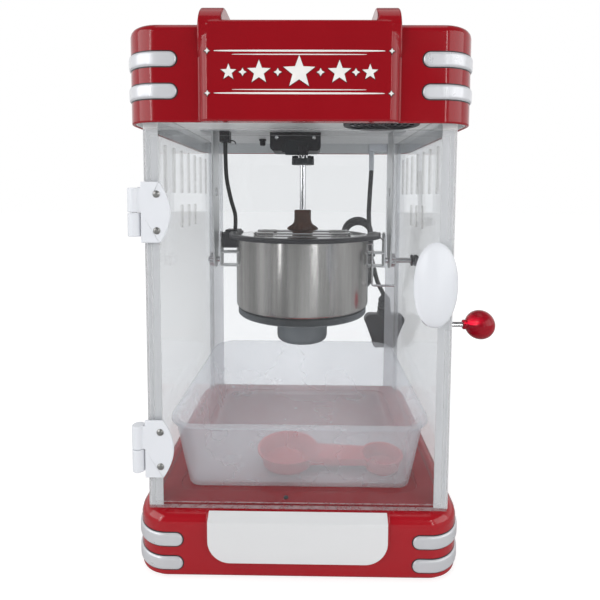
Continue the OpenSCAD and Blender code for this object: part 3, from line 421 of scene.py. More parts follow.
def grid_faces(rows, columns, first=0):
    """Corner numbers of the quads of a grid whose last column joins the first."""
    i = np.arange(rows - 1)[:, None]
    j = np.arange(columns)[None, :]
    k = (j + 1) % columns
    quads = np.stack([i * columns + j, i * columns + k, (i + 1) * columns + k, (i + 1) * columns + j], -1)
    return quads.reshape(-1, 4) + first


def mesh_of(name, grids, crease=40.0):
    """One mesh from grids of points (rows, columns, 3) that close round their columns.
    An end row whose points don't meet gets a face of its own, doubles are merged and faces turned outwards."""
    points, faces, first = [], [], 0
    for grid in grids:
        rows, columns = grid.shape[:2]
        faces += grid_faces(rows, columns, first).tolist()
        for row in (0, rows - 1):
            if np.ptp(grid[row], axis=0).max() > 1e-7:
                faces.append((first + row * columns + np.arange(columns)).tolist())
        points.append(grid.reshape(-1, 3))
        first += rows * columns
    mesh = bpy.data.meshes.new(name)
    mesh.from_pydata(np.concatenate(points).tolist(), [], faces)
    tidy_mesh(mesh, crease, turn=True)
    return mesh


def tidy_mesh(mesh, crease, turn=False, flatten=False):
    """Merges doubles, joins flat faces, smooths faces and marks the edges that stay sharp."""
    bm = bmesh.new()
    bm.from_mesh(mesh)
    bmesh.ops.remove_doubles(bm, verts=bm.verts, dist=2e-6)
    if flatten:
        bmesh.ops.dissolve_limit(
            bm, angle_limit=math.radians(0.6), use_dissolve_boundaries=False, verts=bm.verts, edges=bm.edges
        )
    if turn:
        bmesh.ops.recalc_face_normals(bm, faces=bm.faces)
    for face in bm.faces:
        face.smooth = True
    bm.to_mesh(mesh)
    bm.free()
    mesh.set_sharp_from_angle(angle=math.radians(crease))
    mesh.update()


def built(context, name, grids, slot, body, stands_for=(), crease=40.0, material=None):
    """Piece of new surfaces, in the finish of its slot unless it gets its own."""
    mesh = mesh_of(name, grids, crease)
    return add_piece(name, mesh, material or slot_material(context, slot), body, stands_for)


def turned(profile, steps, centre=(0, 0, 0), axis="z"):
    """Surface of revolution: each (radius, height) goes round the axis through the centre."""
    profile = np.asarray(profile, float)
    a = np.linspace(0, 2 * np.pi, steps, endpoint=False)
    r, h = profile[:, :1], profile[:, 1:2] + 0 * a[None, :]
    c, s = r * np.cos(a), r * np.sin(a)
    order = {"z": (c, s, h), "x": (h, c, s), "y": (s, h, c)}[axis]
    return np.stack(order, -1) + np.asarray(centre, float)


def arc(cx, cy, radius, start, stop, steps):
    """Points of a circular arc, angles in degrees."""
    a = np.radians(np.linspace(start, stop, steps))
    return np.stack([cx + radius * np.cos(a), cy + radius * np.sin(a)], -1)


def round_box(half_x, half_y, radius, per_corner=12, per_side=6):
    """Plan of a rectangle with round corners: four arcs joined by straight rows of points."""
    corners = [
        arc(sx * (half_x - radius), sy * (half_y - radius), radius, start, start + 90, per_corner)
        for sx, sy, start in ((1, 1, 0), (-1, 1, 90), (-1, -1, 180), (1, -1, 270))
    ]
    f = np.linspace(0, 1, per_side + 2)[1:-1, None]
    sides = [here[-1] * (1 - f) + after[0] * f for here, after in zip(corners, corners[1:] + corners[:1])]
    return np.concatenate([part for pair in zip(corners, sides) for part in pair])


def smooth_line(points, per_span):
    """Catmull-Rom curve through the points, as whole arrays."""
    p = np.asarray(points, float)
    q = np.concatenate([p[:1], p, p[-1:]])
    a, b, c, d = q[:-3, None], q[1:-2, None], q[2:-1, None], q[3:, None]
    t = (np.arange(per_span) / per_span)[None, :, None]
    curve = 0.5 * (
        2 * b + (c - a) * t + (2 * a - 5 * b + 4 * c - d) * t**2 + (3 * b - a - 3 * c + d) * t**3
    )
    return np.concatenate([curve.reshape(-1, 3), p[-1:]])


def even_line(line, step):
    """The same line with its points an even step apart."""
    along = np.concatenate([[0], np.cumsum(np.linalg.norm(np.diff(line, axis=0), axis=1))])
    at = np.linspace(0, along[-1], int(math.ceil(along[-1] / step)) + 1)
    return np.stack([np.interp(at, along, line[:, k]) for k in range(3)], -1)


def sweep(line, radius, sides=14):
    """Tube: a circle of the given radius, or radii, carried square to the line without twisting."""
    step = np.gradient(line, axis=0)
    along = step / np.linalg.norm(step, axis=1, keepdims=True)
    across = np.zeros_like(along)
    last = np.cross(along[0], (0.31, 0.52, 0.79))
    for i, way in enumerate(along):
        last = last - way * (last @ way)
        last = last / np.linalg.norm(last)
        across[i] = last
    third = np.cross(along, across)
    a = np.linspace(0, 2 * np.pi, sides, endpoint=False)
    r = np.broadcast_to(np.asarray(radius, float), (len(line),))[:, None, None]
    ring = across[:, None] * np.cos(a)[None, :, None] + third[:, None] * np.sin(a)[None, :, None]
    return line[:, None] + ring * r


def outline_blob(centre, outline, rows):
    """Raised shape on an upright face: shrunken copies of an (x, z) outline, each at its own height
    in front of the face. The rows are (scale, height)."""
    flat = rows[:, :1, None] * outline[None]
    y = centre[1] - rows[:, 1:2] + 0 * outline[None, :, 0]
    return np.stack([centre[0] + flat[..., 0], y, centre[2] + flat[..., 1]], -1)


SHARP = 33.0  # degrees from which an edge of a frame node counts as sharp


def softened(node, material, edge, segments=2, shape=None):
    """Merged copy of a frame node whose sharp edges are rounded by a bevel of edge mm; it stands for the
    node. shape, where given, takes the copy's points in mm and gives back where they go."""
    mesh = NODES[node].data.copy()
    mesh.name = node + "_skin"
    if shape:
        points = np.empty(len(mesh.vertices) * 3)
        mesh.vertices.foreach_get("co", points)
        mesh.vertices.foreach_set("co", (shape(points.reshape(-1, 3) / MM) * MM).ravel())
    if mesh.has_custom_normals:
        mesh.attributes.remove(mesh.attributes["custom_normal"])
    tidy_mesh(mesh, SHARP, flatten=True)
    piece = add_piece(node + "_skin", mesh, material, BODY_OF[node], (node,))
    if edge:
        bevel = piece.modifiers.new("rounded edges", "BEVEL")
        bevel.width = edge * MM
        bevel.segments = segments
        bevel.limit_method = "ANGLE"
        bevel.angle_limit = math.radians(SHARP)
        bevel.use_clamp_overlap = False
        bevel.miter_outer = "MITER_ARC"
        even = piece.modifiers.new("even shading", "WEIGHTED_NORMAL")
        even.keep_sharp = True
    return piece


def soften_all(context, table):
    """Softens each node of a table of node, edge radius in mm and bevel segments."""
    for node, edge, segments in table:
        softened(node, slot_material(context, SLOT_OF[node]), edge, segments)


def finish_edges(piece, axis, material):
    """Gives a sheet's faces that don't face along the axis, its cut edges, a material of their own."""
    mesh = piece.data
    mesh.materials.append(material)
    normals = np.empty(len(mesh.polygons) * 3)
    mesh.polygons.foreach_get("normal", normals)
    edge = np.abs(normals.reshape(-1, 3)[:, axis]) < 0.6
    mesh.polygons.foreach_set("material_index", edge.astype(np.int32))
    mesh.update()


# ---------------------------------------------------------------- routes of the cords, in mm

CORD_START = [
    (92, 129.3, 386), (92, 129.3, 372), (92, 129.3, 360.8), (91.2, 129.4, 345), (90.3, 129, 330),
    (89.6, 128.4, 315), (89.2, 127.6, 300), (90.2, 127.6, 282), (92.6, 128.1, 262),
]
CORD_TAIL = [
    (93.9, 153.55, 262), (94.7, 153.55, 248), (97.4, 152.4, 235), (100.2, 149.4, 224), (102, 145.2, 214),
    (104.2, 141.4, 205.2), (107.2, 138.9, 197.8), (110.4, 137.6, 191.6), (112.8, 137.1, 186),
    (113.8, 137, 180), (114, 137, 174),
]
CABLE_ROUTE = [
    (-87, 12, 384.8), (-87, 12, 370), (-86, 13, 345), (-82, 16, 322), (-78, 20, 305), (-77.6, 21, 294),
    (-78, 21, 287.3),
]
# the hank's middle, the radius of its folds, its first turn's depth and where the cord comes into it
HANK_X, HANK_FOLD, HANK_BACK, HANK_ENTRY = 75.0, 18.9, 128.35, 238.0
FOLD_TOPS, FOLD_FEET = (276.0, 269.5, 275.0, 272.5, 274.0), (216.0, 220.0, 216.0, 218.0)


def hank_route(turns, pitch):
    """Centreline of the hank: each turn goes down the right run, round the lower fold, up the left run
    and round the upper fold, where it moves back by one pitch."""
    out = []
    for k in range(turns):
        y = HANK_BACK + pitch * k
        top, foot = FOLD_TOPS[k % 4], FOLD_FEET[k % 4]
        above = FOLD_TOPS[4] if k == turns - 1 else FOLD_TOPS[(k + 1) % 4]
        right = np.array([HANK_ENTRY, foot + 8]) if k == 0 else np.linspace(top - 12, foot + 12, 3)
        out.append(np.stack([0 * right + HANK_X + HANK_FOLD, 0 * right + y, right], -1))
        a = np.radians(np.linspace(0, 180, 9))
        out.append(np.stack([HANK_X + HANK_FOLD * np.cos(a), 0 * a + y, foot - HANK_FOLD * np.sin(a)], -1))
        left = np.linspace(foot + 12, top - 12, 3)
        out.append(np.stack([0 * left + HANK_X - HANK_FOLD, 0 * left + y, left], -1))
        f = np.linspace(0, 1, 9)
        a = np.pi * (1 - f)
        slide = y + pitch * f * f * (3 - 2 * f)
        out.append(np.stack([HANK_X + HANK_FOLD * np.cos(a), slide, above + HANK_FOLD * np.sin(a)], -1))
    return np.concatenate(out)


# ---------------------------------------------------------------- operators


class POPCORN_OT_cords(bpy.types.Operator):
    """Mains cord with its hank, tie, gland and plug, and the heater's cable"""

    bl_idname = "popcorn.cords"
    bl_label = "Cords"

    def execute(self, context):
        s = context.scene.pop_cords
        soften_all(context, [
            ("cord_gland", 0.7, 3), ("cord_tie", 0.5, 2), ("mains_plug", 1.1, 3), ("plug_pins", 0.7, 3),
            ("cable_clip", 0.5, 2),
        ])
        knots = np.concatenate([CORD_START, hank_route(s.layers, s.pitch / MM), CORD_TAIL])
        line = even_line(smooth_line(knots, 8) * MM, 0.0022)
        tube = sweep(line, s.mains / 2, 16)
        cord = built(context, "mains_lead", [tube], "rubber", "cabinet", ("mains_cord", "cord_hank"))
        line = even_line(smooth_line(CABLE_ROUTE, 10) * MM, 0.002)
        tube = sweep(line, s.heater / 2, 14)
        cable = built(context, "heater_lead", [tube], "rubber", None, ("heater_cable",))
        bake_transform(cable)
        return {"FINISHED"}


BAND_RADIUS, BAND_HEIGHT = 28.0, 11.5  # corner radius and height of every band, in mm
BAND_ENDS = (97.0, 62.0)  # where a band stops, in mm from the middle of the front and of the side
BANDS = (  # node, half width and half depth of what it goes round, and its rows' lower edges, in mm
    ("head_bands", 142.0, 136.0, (402.0, 427.0)), ("base_bands", 139.5, 136.0, (9.0, 29.7)),
)
SHADE_SHEET_HEIGHT = 0.22  # how far the dark sheet that paints the shade in a band's gap stands off the shell, in mm


def corner_bands(half_x, half_y, z_low, proud, grow):
    """Four pill-ended strips round the corners of a rounded rectangle. A point goes along the corner's
    outline by arc length s and up by v; its height shrinks as a half circle at both ends, and it stands
    out by proud times (1 - v^8), a flat face with eased edges."""
    h = BAND_HEIGHT / 2 + grow
    straight_x = half_x - BAND_RADIUS - BAND_ENDS[0] + grow
    bend = BAND_RADIUS * np.pi / 2
    total = straight_x + bend + BAND_ENDS[1] - BAND_RADIUS + grow
    ends = h * (1 - np.cos(np.linspace(0, np.pi / 2, 8)))
    s = np.concatenate([ends, np.linspace(h, total - h, 44)[1:-1], total - ends[::-1]])
    rise = np.sqrt(1 - np.clip((h - np.minimum(s, total - s)) / h, 0, 1) ** 2)[:, None]
    a = np.clip((s - straight_x) / BAND_RADIUS, 0, np.pi / 2)
    px = half_x - BAND_RADIUS + BAND_RADIUS * np.sin(a) + np.minimum(s - straight_x, 0)
    py = half_y - BAND_RADIUS + BAND_RADIUS * np.cos(a) - np.maximum(s - straight_x - bend, 0)
    v = np.sin(np.linspace(-np.pi / 2, np.pi / 2, 15))
    face = proud * (0.14 + 0.86 * (1 - np.abs(v) ** 8)) * (0.35 + 0.65 * np.minimum(1, rise * 1.6))
    back = np.full((len(s), 2), -0.4)
    off = np.concatenate([face, back], 1)
    x = px[:, None] + np.sin(a)[:, None] * off
    y = py[:, None] + np.cos(a)[:, None] * off
    z = z_low + BAND_HEIGHT / 2 + rise * h * np.concatenate([v, [1.0, -1.0]])
    strip = np.stack([x, y, z], -1) * MM
    return [strip * (sx, sy, 1) for sx in (1, -1) for sy in (1, -1)]


class POPCORN_OT_bands(bpy.types.Operator):
    """Silver corner bands of head and base, each on a dark sheet that paints the shade in its gap, and the bare
    plate
    """

    bl_idname = "popcorn.bands"
    bl_label = "Bands and plate"

    def execute(self, context):
        s = context.scene.pop_shell
        for name, half_x, half_y, heights in BANDS:
            strips, painted_shade_gaps = [], []
            for z in heights:
                strips += corner_bands(half_x, half_y, z, s.dome / MM, 0.0)
                painted_shade_gaps += corner_bands(half_x, half_y, z, SHADE_SHEET_HEIGHT, s.outline / MM)
            built(context, name + "_trim", strips, "silver_band", "cabinet", (name,))
            # painted shade: a dark sheet a little larger than each band, in black plastic, stands for the shade
            # in its recess
            built(context, name + "_painted_shade_gap", painted_shade_gaps, "black_plastic", "cabinet")
        softened("nameplate", coating(
            "plate_silver", (0.78, 0.79, 0.8), 0.3, metal=0.2, tone=0.02, tone_scale=20.0,
            tone_stretch=(0.2, 1, 1), spread=0.03, grain=0.000002, grain_scale=1800.0, coat=0.2,
        ), 0.35, 3)
        return {"FINISHED"}


class POPCORN_OT_shell(bpy.types.Operator):
    """Head and base mouldings, bottom sheet, feet and switch"""

    bl_idname = "popcorn.shell"
    bl_label = "Head and base"

    def execute(self, context):
        edge = context.scene.pop_shell.edge / MM
        soften_all(context, [
            ("head_shell", edge, 3), ("feet", 0.5, 2), ("bottom_plate", 0.3, 2), ("switch_bezel", 0.5, 2),
            ("switch_rocker", 0.6, 3),
        ])
        # painted light: the base's red is the shell red made 1.3 times brighter, a lit copy of the same plastic
        base_red = coating("base_red", shade(tuple(context.scene.pop_shell.red), 1.3), 0.14, **MOULDED_RED)
        softened("base_shell", base_red, edge * 0.8, 3)
        mark = [(0, 0.0), (1.6, 0.0), (1.6, 0.25), (1.3, 0.35), (0.9, 0.35), (0.9, 0.1), (0, 0.1)]
        low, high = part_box("switch_rocker")
        centre = ((low.x + high.x) / 2, high.y - 0.0002, (low.z + high.z) / 2 + 0.0032)
        ring = turned(np.array(mark) * MM, 32, centre, "y")
        built(context, "switch_mark", [ring], "white_plastic", "switch")
        return {"FINISHED"}


def star_outline(radius, waist=0.42, points=5, steps=12):
    """Star: the distance from the middle goes in straight lines between tip and waist."""
    corners = np.arange(2 * points)
    r = np.where(corners % 2 == 0, radius, radius * waist)
    a = np.pi / 2 + corners * np.pi / points
    xy = np.stack([r * np.cos(a), r * np.sin(a)], -1)
    f = (np.arange(steps) / steps)[None, :, None]
    return (xy[:, None] * (1 - f) + np.roll(xy, -1, axis=0)[:, None] * f).reshape(-1, 2)


def leaf_outline(length, width, steps=48):
    """Long stripe with pointed ends: half width follows the square root of a sine."""
    t = np.linspace(0, 2 * np.pi, steps, endpoint=False)
    x = -0.5 * length * np.cos(t)
    z = 0.5 * width * np.sign(np.sin(t)) * np.sqrt(np.abs(np.sin(t)))
    return np.stack([x, z], -1)


FASCIA_Y = -0.144  # front of the head's raised middle, in metres
STAR_ROW, LONG_STRIPES, SHORT_STRIPES = 420.6, (436.6, 404.6), (433.9, 407.3)  # heights in mm
STARS = ((0, 13.0), (-31, 9.4), (31, 9.4), (-54.5, 6.4), (54.5, 6.4))  # place across and size, in mm


class POPCORN_OT_ornament(bpy.types.Operator):
    """White fairground ornament of stars, diamonds and pinstripes on the raised front of the head"""

    bl_idname = "popcorn.ornament"
    bl_label = "Ornament"

    def execute(self, context):
        stars = [(x, STAR_ROW, star_outline(size)) for x, size in STARS]
        stars += [(x, STAR_ROW, star_outline(3.1, 0.5, 4)) for x in (-16.5, 16.5, -43.6, 43.6)]
        stars += [(x, z, star_outline(2.2, 0.5, 4)) for x in (-71.0, 71.0) for z in LONG_STRIPES]
        stripes = [(0, z, leaf_outline(132, 1.5)) for z in LONG_STRIPES]
        stripes += [(0, z, leaf_outline(104, 0.8)) for z in SHORT_STRIPES]
        shadows = [(x, z, self.wider(outline, 0.9) - (0, 0.25)) for x, z, outline in stars]
        shadows += [(x, z, self.wider(outline, 0.5)) for x, z, outline in stripes]
        white = coating("ornament_white", (0.78, 0.77, 0.75), 0.34, tone=0.04, tone_scale=60.0, grain=0.00002)
        rim = coating("ornament_shadow", (0.05, 0.004, 0.007), 0.4, tone=0.1, tone_scale=60.0, grain=0.00002)
        rows = np.array([(0.0, 0.28), (0.9, 0.28), (0.985, 0.22), (1.0, 0.1), (1.0, -0.3), (0.0, -0.3)])
        for name, shapes, lift, slot, material in (
            ("ornament", stars + stripes, 1.0, "white_plastic", white),
            ("ornament_edge", shadows, 0.45, "black_plastic", rim),
        ):
            grids = [
                outline_blob((x * MM, FASCIA_Y, z * MM), outline * MM, rows * (1, lift * MM))
                for x, z, outline in shapes
            ]
            built(context, name, grids, slot, "cabinet", crease=30, material=material)
        return {"FINISHED"}

    @staticmethod
    def wider(outline, margin):
        """The outline scaled so that its farthest point moves out by the margin."""
        return outline * (1 + margin / np.hypot(*outline.T).max())


def screw_head(centre, axis="y", sign=-1, radius=2.6):
    """Round screw head: a flat dome with a small round recess, turned about its axis."""
    profile = np.array([
        (0.0, -0.6), (radius, -0.6), (radius, 0.1), (radius * 0.92, 0.55), (radius * 0.6, 0.95),
        (radius * 0.34, 1.05), (radius * 0.3, 0.5), (0.0, 0.5),
    ])
    profile[:, 1] *= sign
    return turned(profile * MM, 28, centre, axis)


# half width, half depth and corner radius of the lining's outer and inner face, and its edges, in mm
LINING_PLANS, LINING_HEIGHTS = ((138.7, 132.7, 24.8), (137.8, 131.8, 23.9)), (396.9, 384.3)
# places in metres
FLOOR_SCREWS = ((-0.097, 0.1125, 0.06035), (0.066, 0.1125, 0.06035))
DOOR_STOP, CEILING_STUB = (-0.0109, -0.1175, 0.0601), (-0.0525, 0.079, 0.3972)


class POPCORN_OT_cabinet(bpy.types.Operator):
    """Posts, floor, ceiling, fan grille and clear sheets of the cabinet"""

    bl_idname = "popcorn.cabinet"
    bl_label = "Cabinet"

    def execute(self, context):
        soften_all(context, [
            ("cabinet_floor", 0.6, 3), ("front_posts", 0.25, 2), ("ceiling_plate", 0.2, 1),
            ("ceiling_vent", 0.25, 1),
        ])
        softened("rear_posts", frosted_plastic("rear_post", 0.42, (0.86, 0.865, 0.87)), 0.25, 2)
        softened("back_panel", slot_material(context, "clear_plastic"), 0.2, 1)
        sheet = clear_sheet("side_sheet", context.scene.pop_cabinet.haze, (0.945, 0.95, 0.955))
        slots = cut_edge("vent_slot_edge", (0.2, 0.195, 0.19), 0.34)
        finish_edges(softened("side_panels", sheet, 0.0), 0, slots)
        self.lining(context)
        self.fittings(context)
        return {"FINISHED"}

    @staticmethod
    def lining(context):
        """Pale lining inside the head's lower edge: a thin upright wall between two rounded rectangles."""
        outer, inner = (round_box(*plan) for plan in LINING_PLANS)
        top, foot = LINING_HEIGHTS
        rows = [(outer, top), (outer, foot), (inner, foot), (inner, top), (outer, top)]
        grid = np.stack([np.concatenate([plan, np.full((len(plan), 1), z)], 1) for plan, z in rows])
        built(context, "ceiling_liner", [grid * MM], "white_sheet", "cabinet")

    @staticmethod
    def fittings(context):
        """Screws in the cabinet's floor, the door's stop and a dark stub under the ceiling."""
        heads = [screw_head(place, "z", 1, 2.2) for place in FLOOR_SCREWS]
        built(context, "floor_screws", heads, "polished_steel", "cabinet")
        pad = np.array([(0, 0.3), (2.0, 0.3), (2.0, 1.2), (1.4, 1.7), (0, 1.8)]) * MM
        peg = np.array([(0, 0), (4.6, 0), (4.6, -2), (3.6, -2.6), (3.6, -7.2), (2.8, -8.4), (0, -8.6)]) * MM
        grids = [turned(pad, 24, DOOR_STOP), turned(peg, 28, CEILING_STUB)]
        built(context, "small_dark_fittings", grids, "black_plastic", "cabinet")


# left edge, heights of the middles and half height of the door's hinge leaves, in mm
LEAF_LEFT, LEAF_MIDDLES, LEAF_HALF = -129.6, (111.0, 311.5), 25.0
LEAF_FIXED = 8.0  # width of the leaves' straight part, in mm
KNOB_POWER = 2.12  # 2 gives an ellipse, more a fuller oval
KNOB_BACK = -0.12905  # the knob's rear face, in metres


class POPCORN_OT_door(bpy.types.Operator):
    """Clear door with its hinges, screws and oval knob"""

    bl_idname = "popcorn.door"
    bl_label = "Door"

    def execute(self, context):
        soften_all(context, [("body_hinge_leaves", 0.7, 3), ("hinge_pins", 0.2, 1)])
        clear = slot_material(context, "clear_plastic")
        finish_edges(softened("door_panel", clear, 0.0), 1, cut_edge("door_edge", (0.5, 0.5, 0.51), 0.4))
        softened("door_hinge_leaves", slot_material(context, "white_plastic"), 0.7, 3, shape=self.leaf)
        dull = coating("screw_steel", (0.36, 0.36, 0.35), 0.4, metal=1.0, tone=0.15, tone_scale=300.0)
        for node in ("body_screws", "door_screws"):
            softened(node, dull, 0.3, 2)
        low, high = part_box("door_knob")
        cx, cz, back = (low.x + high.x) / 2, (low.z + high.z) / 2, KNOB_BACK
        a = np.linspace(0, 2 * np.pi, 96, endpoint=False)
        round_xz = np.stack([np.cos(a), np.sin(a)], -1)
        half = ((high.x - low.x) / 2, (high.z - low.z) / 2)
        outline = half * np.sign(round_xz) * np.abs(round_xz) ** (2 / KNOB_POWER)
        t = np.linspace(0, np.pi / 2, 26)
        dome = np.stack([0.965 * np.sin(t), 3.6 + 8.1 * np.cos(t) ** 1.35], -1)
        edge = np.array([(0.985, 3.1), (0.997, 2.2), (1.0, 1.4), (0.995, 0.5), (0.97, 0.1), (0.0, 0.1)])
        rows = np.concatenate([dome, edge])
        knob = outline_blob((cx, back, cz), outline, rows * (1, MM))
        bolt = np.array([(0, -3.6), (2, -3.6), (2, 4.4), (3.4, 4.4), (3.4, 5.4), (2.9, 6.0), (0, 6.1)])
        shank = turned(bolt * MM, 28, (cx, back, cz), "y")
        built(context, "oval_knob", [knob, shank], "white_plastic", "door", ("door_knob",))
        return {"FINISHED"}

    @staticmethod
    def leaf(points):
        """Gives the leaves' free edge one bow: 15.5 + 8.9 (1 - u^1.9) mm from the left, u being the height
        from the middle as a share of half the leaf. The frame's edge at the same height is the outer one
        of a lobe round each screw, a lobe between them and the straight edge."""
        x, y, z = points.T
        middle = np.where(z > sum(LEAF_MIDDLES) / 2, LEAF_MIDDLES[1], LEAF_MIDDLES[0])
        dz = np.clip(np.abs(z - middle), 0, LEAF_HALF)
        now = np.maximum(12 + np.sqrt(np.clip(100 - (dz - 15) ** 2, 0, None)),
                         9.4 + np.sqrt(np.clip(13.6**2 - dz**2, 0, None)))
        now = np.maximum(now, np.where(dz < 19, 17.6, 12.0))
        bow = 15.5 + 8.9 * (1 - (dz / LEAF_HALF) ** 1.9)
        free = np.maximum(x - LEAF_LEFT - LEAF_FIXED, 0)
        return np.stack([x + free * ((bow - LEAF_FIXED) / (now - LEAF_FIXED) - 1), y, z], -1)


KETTLE_Y = 12.0  # the kettle's axis lies this far behind the middle, in mm


class POPCORN_OT_kettle(bpy.types.Operator):
    """Spun pot, bridge, flaps, rim handle, heater, ears and pivots"""

    bl_idname = "popcorn.kettle"
    bl_label = "Kettle"

    def execute(self, context):
        k = context.scene.pop_kettle
        low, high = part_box("kettle_pot")
        z0, z1, r = low.z / MM, high.z / MM, (high.x - low.x) / 2 / MM
        profile = np.concatenate([
            [(0, z0), (30, z0), (r - 5.5, z0)], arc(r - 5, z0 + 5, 5, -88, 0, 8),
            [(r, z0 + f * (z1 - z0 - 8)) for f in (0.15, 0.4, 0.65, 0.9, 1.0)],
            [(r, z1 - 3.4)], arc(r - 1.5, z1 - 1.5, 1.5, 0, 180, 9),
            [(r - 3, z1 - 2.4), (r - 1.8, z1 - 4)],
            arc(r - 5.6, z0 + 5.6, 4, 0, -90, 8), [(40, z0 + 1.6), (4, z0 + 1.6)],
            arc(2.4, z0 + 2, 1.6, 0, 90, 5), [(0, z0 + 3.6)],
        ])
        wall = turned(profile * MM, k.sides, (0, KETTLE_Y * MM, 0))
        spun = spun_pot_painted_reflections("spun_steel", tuple(k.steel))
        built(context, "spun_pot", [wall], "bright_steel", "kettle", ("kettle_pot",), 50, spun)
        soften_all(context, [
            ("flap_pins", 0.1, 1), ("kettle_ears", 0.3, 2), ("left_pivot", 0.4, 2), ("thumb_nuts", 0.5, 2),
            ("dump_lever", 0.0, 1), ("hook_wire", 0.0, 1),
        ])
        lid_steel = coating("lid_steel", (0.72, 0.72, 0.71), 0.1, metal=1.0, tone=0.05, spread=0.03)
        for node in ("lid_bridge", "lid_front", "lid_back"):
            softened(node, lid_steel, 0.25, 2)
        softened("rim_handle", slot_material(context, "black_plastic"), 0.9, 3, shape=self.rim)
        self.heater(context)
        self.bush(context)
        self.ball(context)
        return {"FINISHED"}

    @staticmethod
    def ball(context):
        """Ball on the lever: a circle turned about the lever, on a short collar."""
        low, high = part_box("lever_ball")
        radius = (high.z - low.z) / 2 / MM
        neck = math.degrees(math.asin(5.5 / radius))
        a = np.radians(np.linspace(neck, 180, 40))
        profile = np.concatenate([
            [(0, -radius - 3), (4.6, -radius - 3)], arc(4.6, -radius - 2.1, 0.9, -90, 0, 4),
            [(5.5, -radius * 0.985)], np.stack([radius * np.sin(a), -radius * np.cos(a)], -1),
        ])
        centre = (high.x - radius * MM, (low.y + high.y) / 2, (low.z + high.z) / 2)
        grid = turned(profile * MM, 64, centre, "x")
        built(context, "lever_knob", [grid], "red_ball", "kettle", ("lever_ball",))

    @staticmethod
    def rim(points):
        """The ring in front of the block gets a slimmer section, and it widens towards its right end."""
        x, y, z = points.T
        slim = np.clip((2 - y) / 12, 0, 1)
        flat = z + slim * (279.4 + (z - 278.0) * 0.63 - z)
        radius = np.hypot(x, y - KETTLE_Y)
        out = np.clip((radius - 74.3) / 7.7, 0, 1) * np.clip((x - 52) / 25, 0, 1) ** 2
        wide = 1 + 5.5 * out / radius
        return np.stack([x * wide, KETTLE_Y + (y - KETTLE_Y) * wide, np.where(slim > 0, flat, z)], -1)

    @staticmethod
    def heater(context):
        """Heater base, a lipped shallow cone, and the cap under it, a dished cup with a screw. Each point
        of a profile is a radius and a depth below the pot, in mm."""
        base = [(0, 0), (71.2, 0), (72, 0.8), (72, 6.4), (71, 7.5), (68, 7.8), (66.5, 6.6), (36, 12.5),
                (33.4, 13.4), (32.8, 16.6), (31.6, 17.4), (0, 17.4)]
        cup = [(0, 17.3), (28.4, 17.3), (28.6, 19), (28.4, 35), (27.6, 38.2), (25.6, 40), (22, 40.4),
               (19, 39.6), (4.4, 39.6), (4.2, 40.6), (3.4, 40.8), (0, 40.8)]
        centre = (0, KETTLE_Y * MM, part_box("kettle_pot")[0].z)
        for name, profile, steps, node in (
            ("heater_base", base, 120, "heater_housing"), ("heater_cup", cup, 96, "heater_cap"),
        ):
            grid = turned(np.array(profile) * (MM, -MM), steps, centre)
            built(context, name, [grid], "grey_black", "kettle", (node,), crease=35)

    @staticmethod
    def bush(context):
        """Collar round the rod: a turned profile whose flange has twelve teeth. A point's radius is the
        profile's, less a share of (1 - cos 12a) / 2 where the flange is, a being the angle."""
        rows = np.array([
            (4.1, 282.8, 0), (9.6, 282.8, 0), (11.6, 284, 0), (12, 286.4, 0), (15.2, 287, 1.4),
            (17.4, 288, 2.6), (17.4, 289.6, 2.6), (15, 291.6, 1.8), (11.8, 293.6, 0.9), (10.2, 296, 0.2),
            (9.4, 299, 0), (9.4, 309, 0), (8.8, 310, 0), (4.3, 310, 0),
        ])
        a = np.linspace(0, 2 * np.pi, 144, endpoint=False)
        dip = np.clip((1 - np.cos(12 * a)) / 2 * 1.6 - 0.3, 0, 1)
        r = rows[:, :1] - rows[:, 2:] * dip[None]
        z = rows[:, 1:2] + 0 * r
        grid = np.stack([r * np.cos(a), KETTLE_Y + r * np.sin(a), z], -1)
        grid = np.concatenate([grid, grid[:1]]) * MM
        built(context, "toothed_bush", [grid], "brown_plastic", "kettle", ("shaft_bush",))


class POPCORN_OT_drive(bpy.types.Operator):
    """Motor, bracket, hanger straps, gears, stirring rod and wires"""

    bl_idname = "popcorn.drive"
    bl_label = "Drive"

    def execute(self, context):
        soften_all(context, [
            ("motor_housing", 0.6, 2), ("gear_bracket", 0.4, 2), ("hanger_straps", 0.35, 2),
            ("lever_bush", 0.4, 2), ("stirrer_rod", 0.4, 2), ("rod_gear", 0.2, 2),
            ("stirring_wire", 0.0, 1), ("drive_gear", 0.15, 2),
        ])
        low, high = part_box("motor_housing")
        heads = [
            screw_head(((low.x + high.x) / 2 + d * 0.021, low.y - 0.0002, low.z + 0.0145), "y", -1, 2.3)
            for d in (-1, 1)
        ]
        built(context, "motor_screws", heads, "polished_steel", "cabinet")
        return {"FINISHED"}


TUB_FLOOR = 2.0  # thickness of the tub's floor, in mm
TUB_LINES = (22.6, 26.0)  # how far in from the edge the raised lines lie, in mm


def tub_rows(half_x, half_y, rows):
    """Stack of rounded rectangles: each row is inset, corner radius, height and share of full size."""
    out = []
    for inset, radius, z, share in rows:
        plan = round_box(half_x - inset, half_y - inset, radius) * share
        out.append(np.concatenate([plan, np.full((len(plan), 1), z)], 1))
    return np.stack(out)


